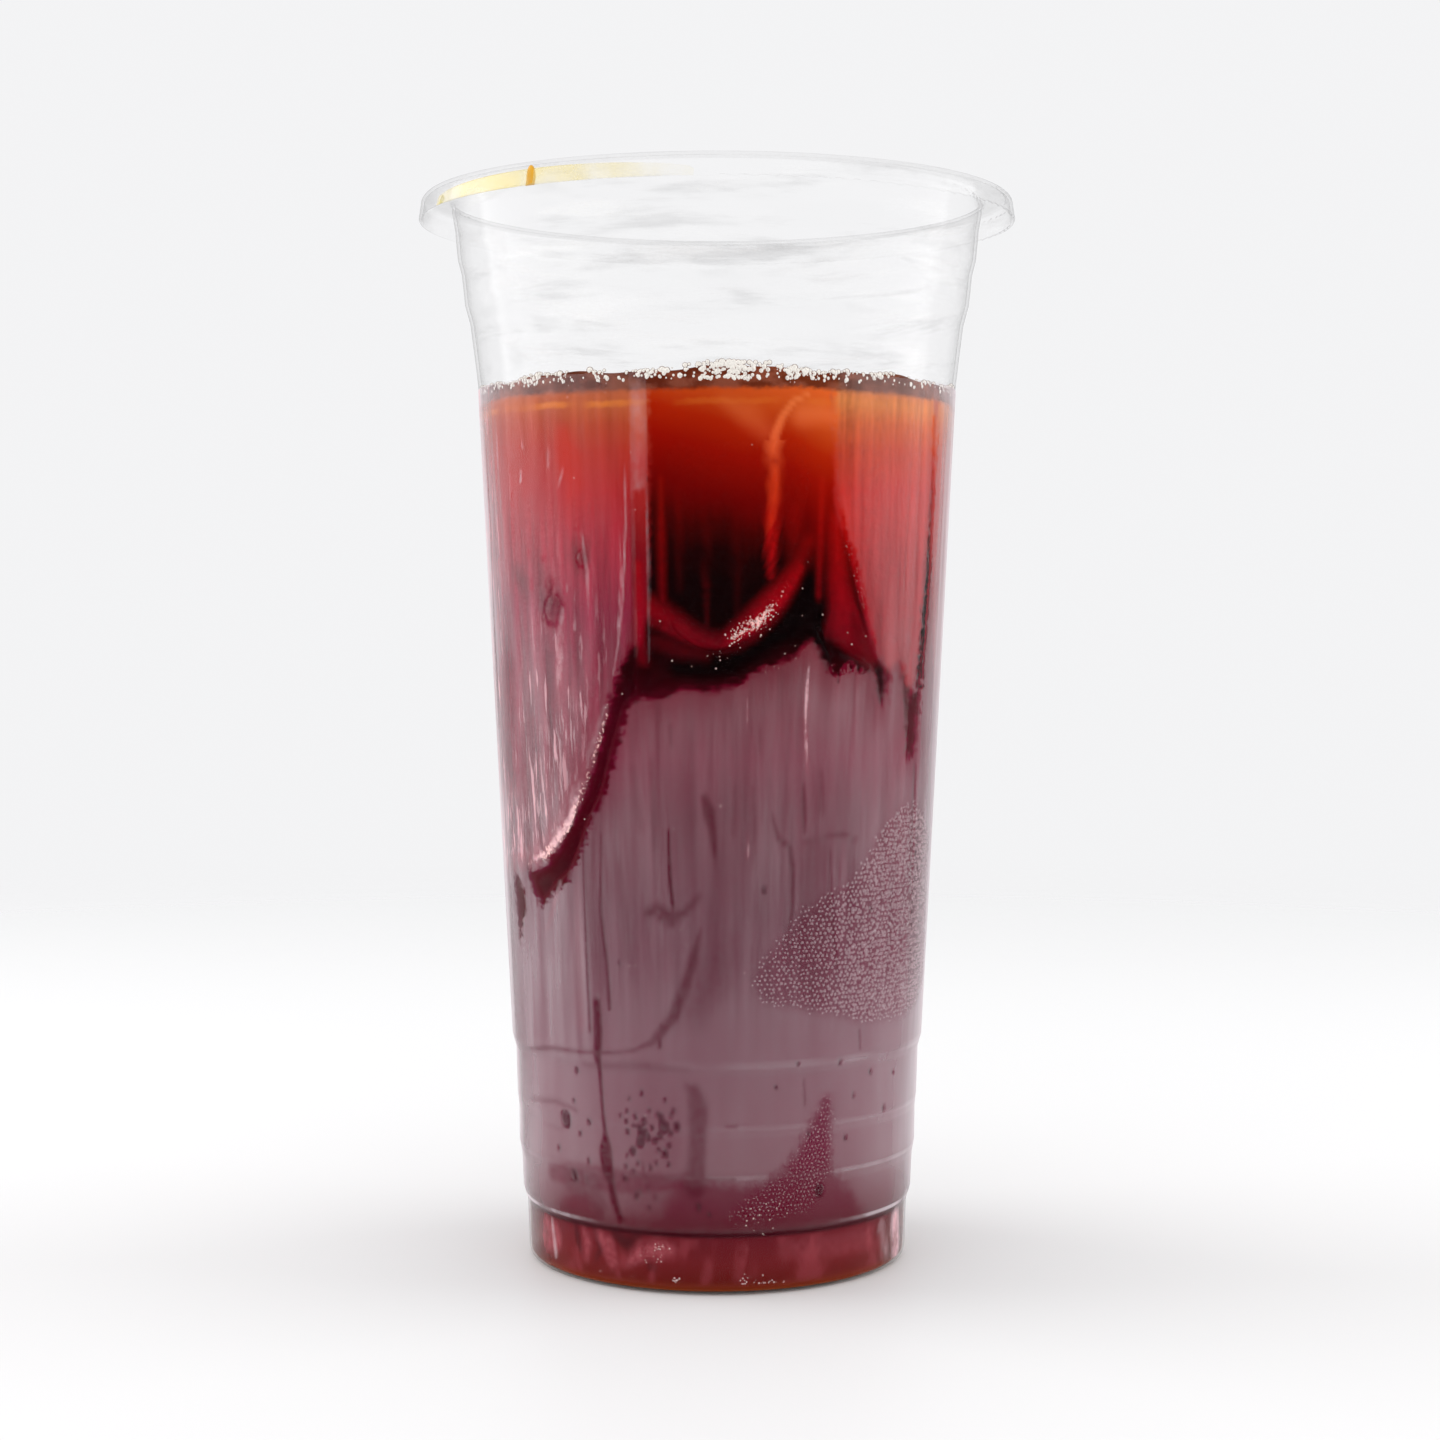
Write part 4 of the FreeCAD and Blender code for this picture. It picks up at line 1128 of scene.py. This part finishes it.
def water(name, painted_light, rim, gloss):
    """A clear drop: a little painted pale light in it, more towards its rim and high on the cup, and it
    mirrors the lamps."""
    made, wire, spot, height = material(name)
    slant = wire.head_on()
    uneven = spot.speckle(1200.0, 1.0) * 0.2
    pale = wire.body((0.72, 0.58, 0.61), 0.1, 1.33, 0.5)
    mirror = wire.node("ShaderNodeBsdfGlossy", None, {"Color": (1.0, 1.0, 1.0, 1.0), "Roughness": 0.08})
    # Painted light: a pale share in each drop, more high on the cup and towards its rim.
    grown = (height.ease(30.0, 42.0) * 0.25 + 0.75) * painted_light
    veiled = ((1.0 - slant) ** 1.3 * rim + grown + uneven * grown).at_most(0.95).over(wire.clear(), pale)
    return finish(made, ((1.0 - slant) ** 4.0 * gloss + 0.003).over(veiled, mirror))


PITCHES_MM = (0.8, 0.75)  # how far apart the beads of each patch stand
WIDTHS_MM = (0.8, 0.62)  # the width that their size is a share of
patches = [bead_places(outline, pitch) for outline, pitch in zip(BEADED, PITCHES_MM)]
turns, heights, sizes = [], [], []
for (turn, height, inside), width in zip(patches, WIDTHS_MM):
    size = width * (0.31 + 0.1 * eased(inside, 0.0, 3.0)) * chance.uniform(0.8, 1.15, turn.size)
    size = size * (0.68 + 0.32 * eased(turn, 20.0, 42.0)) * (1.0 - 0.1 * (height < 34.0))
    for at, up in ((turn, height), behind(turn, height)):
        turns.append(at)
        heights.append(up)
        sizes.append(size)
beads = domes("beads", np.concatenate(turns), np.concatenate(heights), np.concatenate(sizes))
beads.data.materials.append(water("beaded_water", 0.19, 0.05, 0.2))
beads.visible_shadow = beads.visible_diffuse = False
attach(beads, "root")

at, up, size = np.array(SPECKS).T
at_back, up_back = behind(at, up)
turns, heights, sizes = np.concatenate([at, at_back]), np.concatenate([up, up_back]), np.tile(size * 0.8, 2)
drops = domes("drops", turns, heights, sizes, 1.2, 0.35)
drops.data.materials.append(water("hanging_water", 0.02, 0.1, 0.1))
drops.visible_shadow = drops.visible_diffuse = False
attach(drops, "root")

# The stain. Coffee caught behind the lip's skirt has dried to a pale yellow film, with one amber drop that
# hasn't, and a smaller one at its end.


SKIRT_MM, SKIRT_LEAN_MM = 48.4, 0.3  # inside radius of the lip's skirt at its foot, and how far it leans in
FILM_MM = 0.12  # thickness of the film
FILM_COLUMNS = 90


def lip_film(name, start, stop, low, high):
    """A thin strip that lines the inside of the lip's skirt, between two turns and two heights, drawn to a
    point at its ends."""
    turn = np.linspace(start, stop, FILM_COLUMNS)
    share = np.linspace(0.0, 1.0, 9)[:, None]
    fade = np.sin(np.linspace(0.0, math.pi, FILM_COLUMNS)) ** 0.4
    height = low + (high - low) * share * (0.4 + 0.6 * fade)
    radius = SKIRT_MM - SKIRT_LEAN_MM * share
    inner, outer = turned(radius, turn, height), turned(radius + FILM_MM, turn, height)
    return grid_mesh(name, np.concatenate([inner, outer[::-1]]), capped=True)


def coffee_film(name, colour, cover):
    """Dried or wet coffee in a thin patchy coat, fainter towards the front."""
    made, wire, spot, _ = material(name)
    patchy = spot.speckle(160.0, 2.0, 0.5, (1.0, 1.0, 0.6)).ease(0.25, 0.7) * 0.8 + 0.35
    body = wire.body(colour, 0.2, 1.33, 0.3)
    ends = wire.node("ShaderNodeSeparateXYZ", None, {0: spot}, 0).ease(-0.004, -0.024) * 0.8 + 0.2
    return finish(made, (patchy * cover * ends).at_most(1.0).over(wire.clear(), body))


for name, place, finish_name, colour, cover in (
    ("lip_stain", (-66.0, -4.0, 170.8, 173.3), "dried_coffee", (0.92, 0.78, 0.3), 0.4),
    ("lip_drop", (-36.4, -34.4, 170.75, 173.8), "amber_coffee", (0.75, 0.38, 0.03), 0.95),
    ("lip_spot", (-64.4, -62.6, 170.9, 172.2), "yellow_coffee", (0.7, 0.62, 0.12), 0.8),
):
    film = lip_film(name, *place)
    film.data.materials.append(coffee_film(finish_name, colour, cover))
    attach(film, "root")

# The table, the light and the camera, none of which belong to the object.


def table_top():
    """A pale table that fades into the pale room beyond it."""
    made, wire, spot, _ = material("pale_table")
    far = wire.node("ShaderNodeVectorMath", {"operation": "LENGTH"}, {0: spot}, 1)
    return finish(made, far.ease(0.22, 0.75).over(wire.body((0.8, 0.8, 0.805), 0.5, 1.45, 0.3), wire.clear()))


spread = np.array([0.0, 60.0, 120.0, 300.0, 800.0])[:, None]
table = grid_mesh("table", turned(spread, np.linspace(0.0, 360.0, 96, endpoint=False)[None, :], -0.02))
table.data.materials.append(table_top())


def room():
    """Plain soft light from all round. The eye meets a pale room, and so does what is seen through clear
    things, while what they mirror is dimmer."""
    world = bpy.data.worlds.new("pale_room")
    world.use_nodes = True
    world.node_tree.nodes.clear()
    wire = Wire(world.node_tree)
    path = wire.node("ShaderNodeLightPath").socket.node.outputs
    rays = ("Camera", "Glossy", "Transmission")
    seen, mirror, through = (Wire(wire.tree, path[f"Is {kind} Ray"]) for kind in rays)
    light, pale, dim = (
        wire.node("ShaderNodeBackground", None, {"Color": (*colour, 1.0), "Strength": strength})
        for colour, strength in (((1.0, 1.0, 1.0), 0.87), ((0.9, 0.9, 0.91), 1.0), ((0.9, 0.9, 0.91), 0.75))
    )
    shown = mirror.over(seen.at_least(through).over(light, pale), dim)
    shown.node("ShaderNodeOutputWorld", None, {"Surface": shown})
    bpy.context.scene.world = world


MIDDLE = 0.08  # height of the cup's middle


def lamp(name, turn, distance, height, width, tall, watts):
    """A soft rectangular lamp at a turn round the cup, pointed at its middle."""
    light = bpy.data.lights.new(name, "AREA")
    light.shape = "RECTANGLE"
    light.size, light.size_y, light.energy = width, tall, watts
    holder = bpy.data.objects.new(name, light)
    bpy.context.scene.collection.objects.link(holder)
    angle = math.radians(turn)
    holder.location = (distance * math.sin(angle), -distance * math.cos(angle), height)
    way = holder.location.copy()
    way.z -= MIDDLE
    holder.rotation_euler = way.to_track_quat("Z", "Y").to_euler()
    holder.visible_camera = False


room()
lamp("left_side", -100.0, 0.9, 0.35, 0.7, 0.9, 5.6)
lamp("right_side", 95.0, 0.9, 0.35, 0.7, 0.9, 4.4)
lamp("overhead", 0.0, 0.12, 1.0, 0.8, 0.8, 2.0)

LOOK_DOWN = 2.22  # degrees
lens = bpy.data.cameras.new("camera")
lens.sensor_width, lens.lens = 36.0, 65.03
camera = bpy.data.objects.new("camera", lens)
bpy.context.scene.collection.objects.link(camera)
camera.location = (0.0005, -0.4332, 0.1056)
camera.rotation_euler = (math.radians(90.0 - LOOK_DOWN), 0.0, 0.0)
bpy.context.scene.camera = camera
bpy.context.scene.view_settings.view_transform = "Standard"
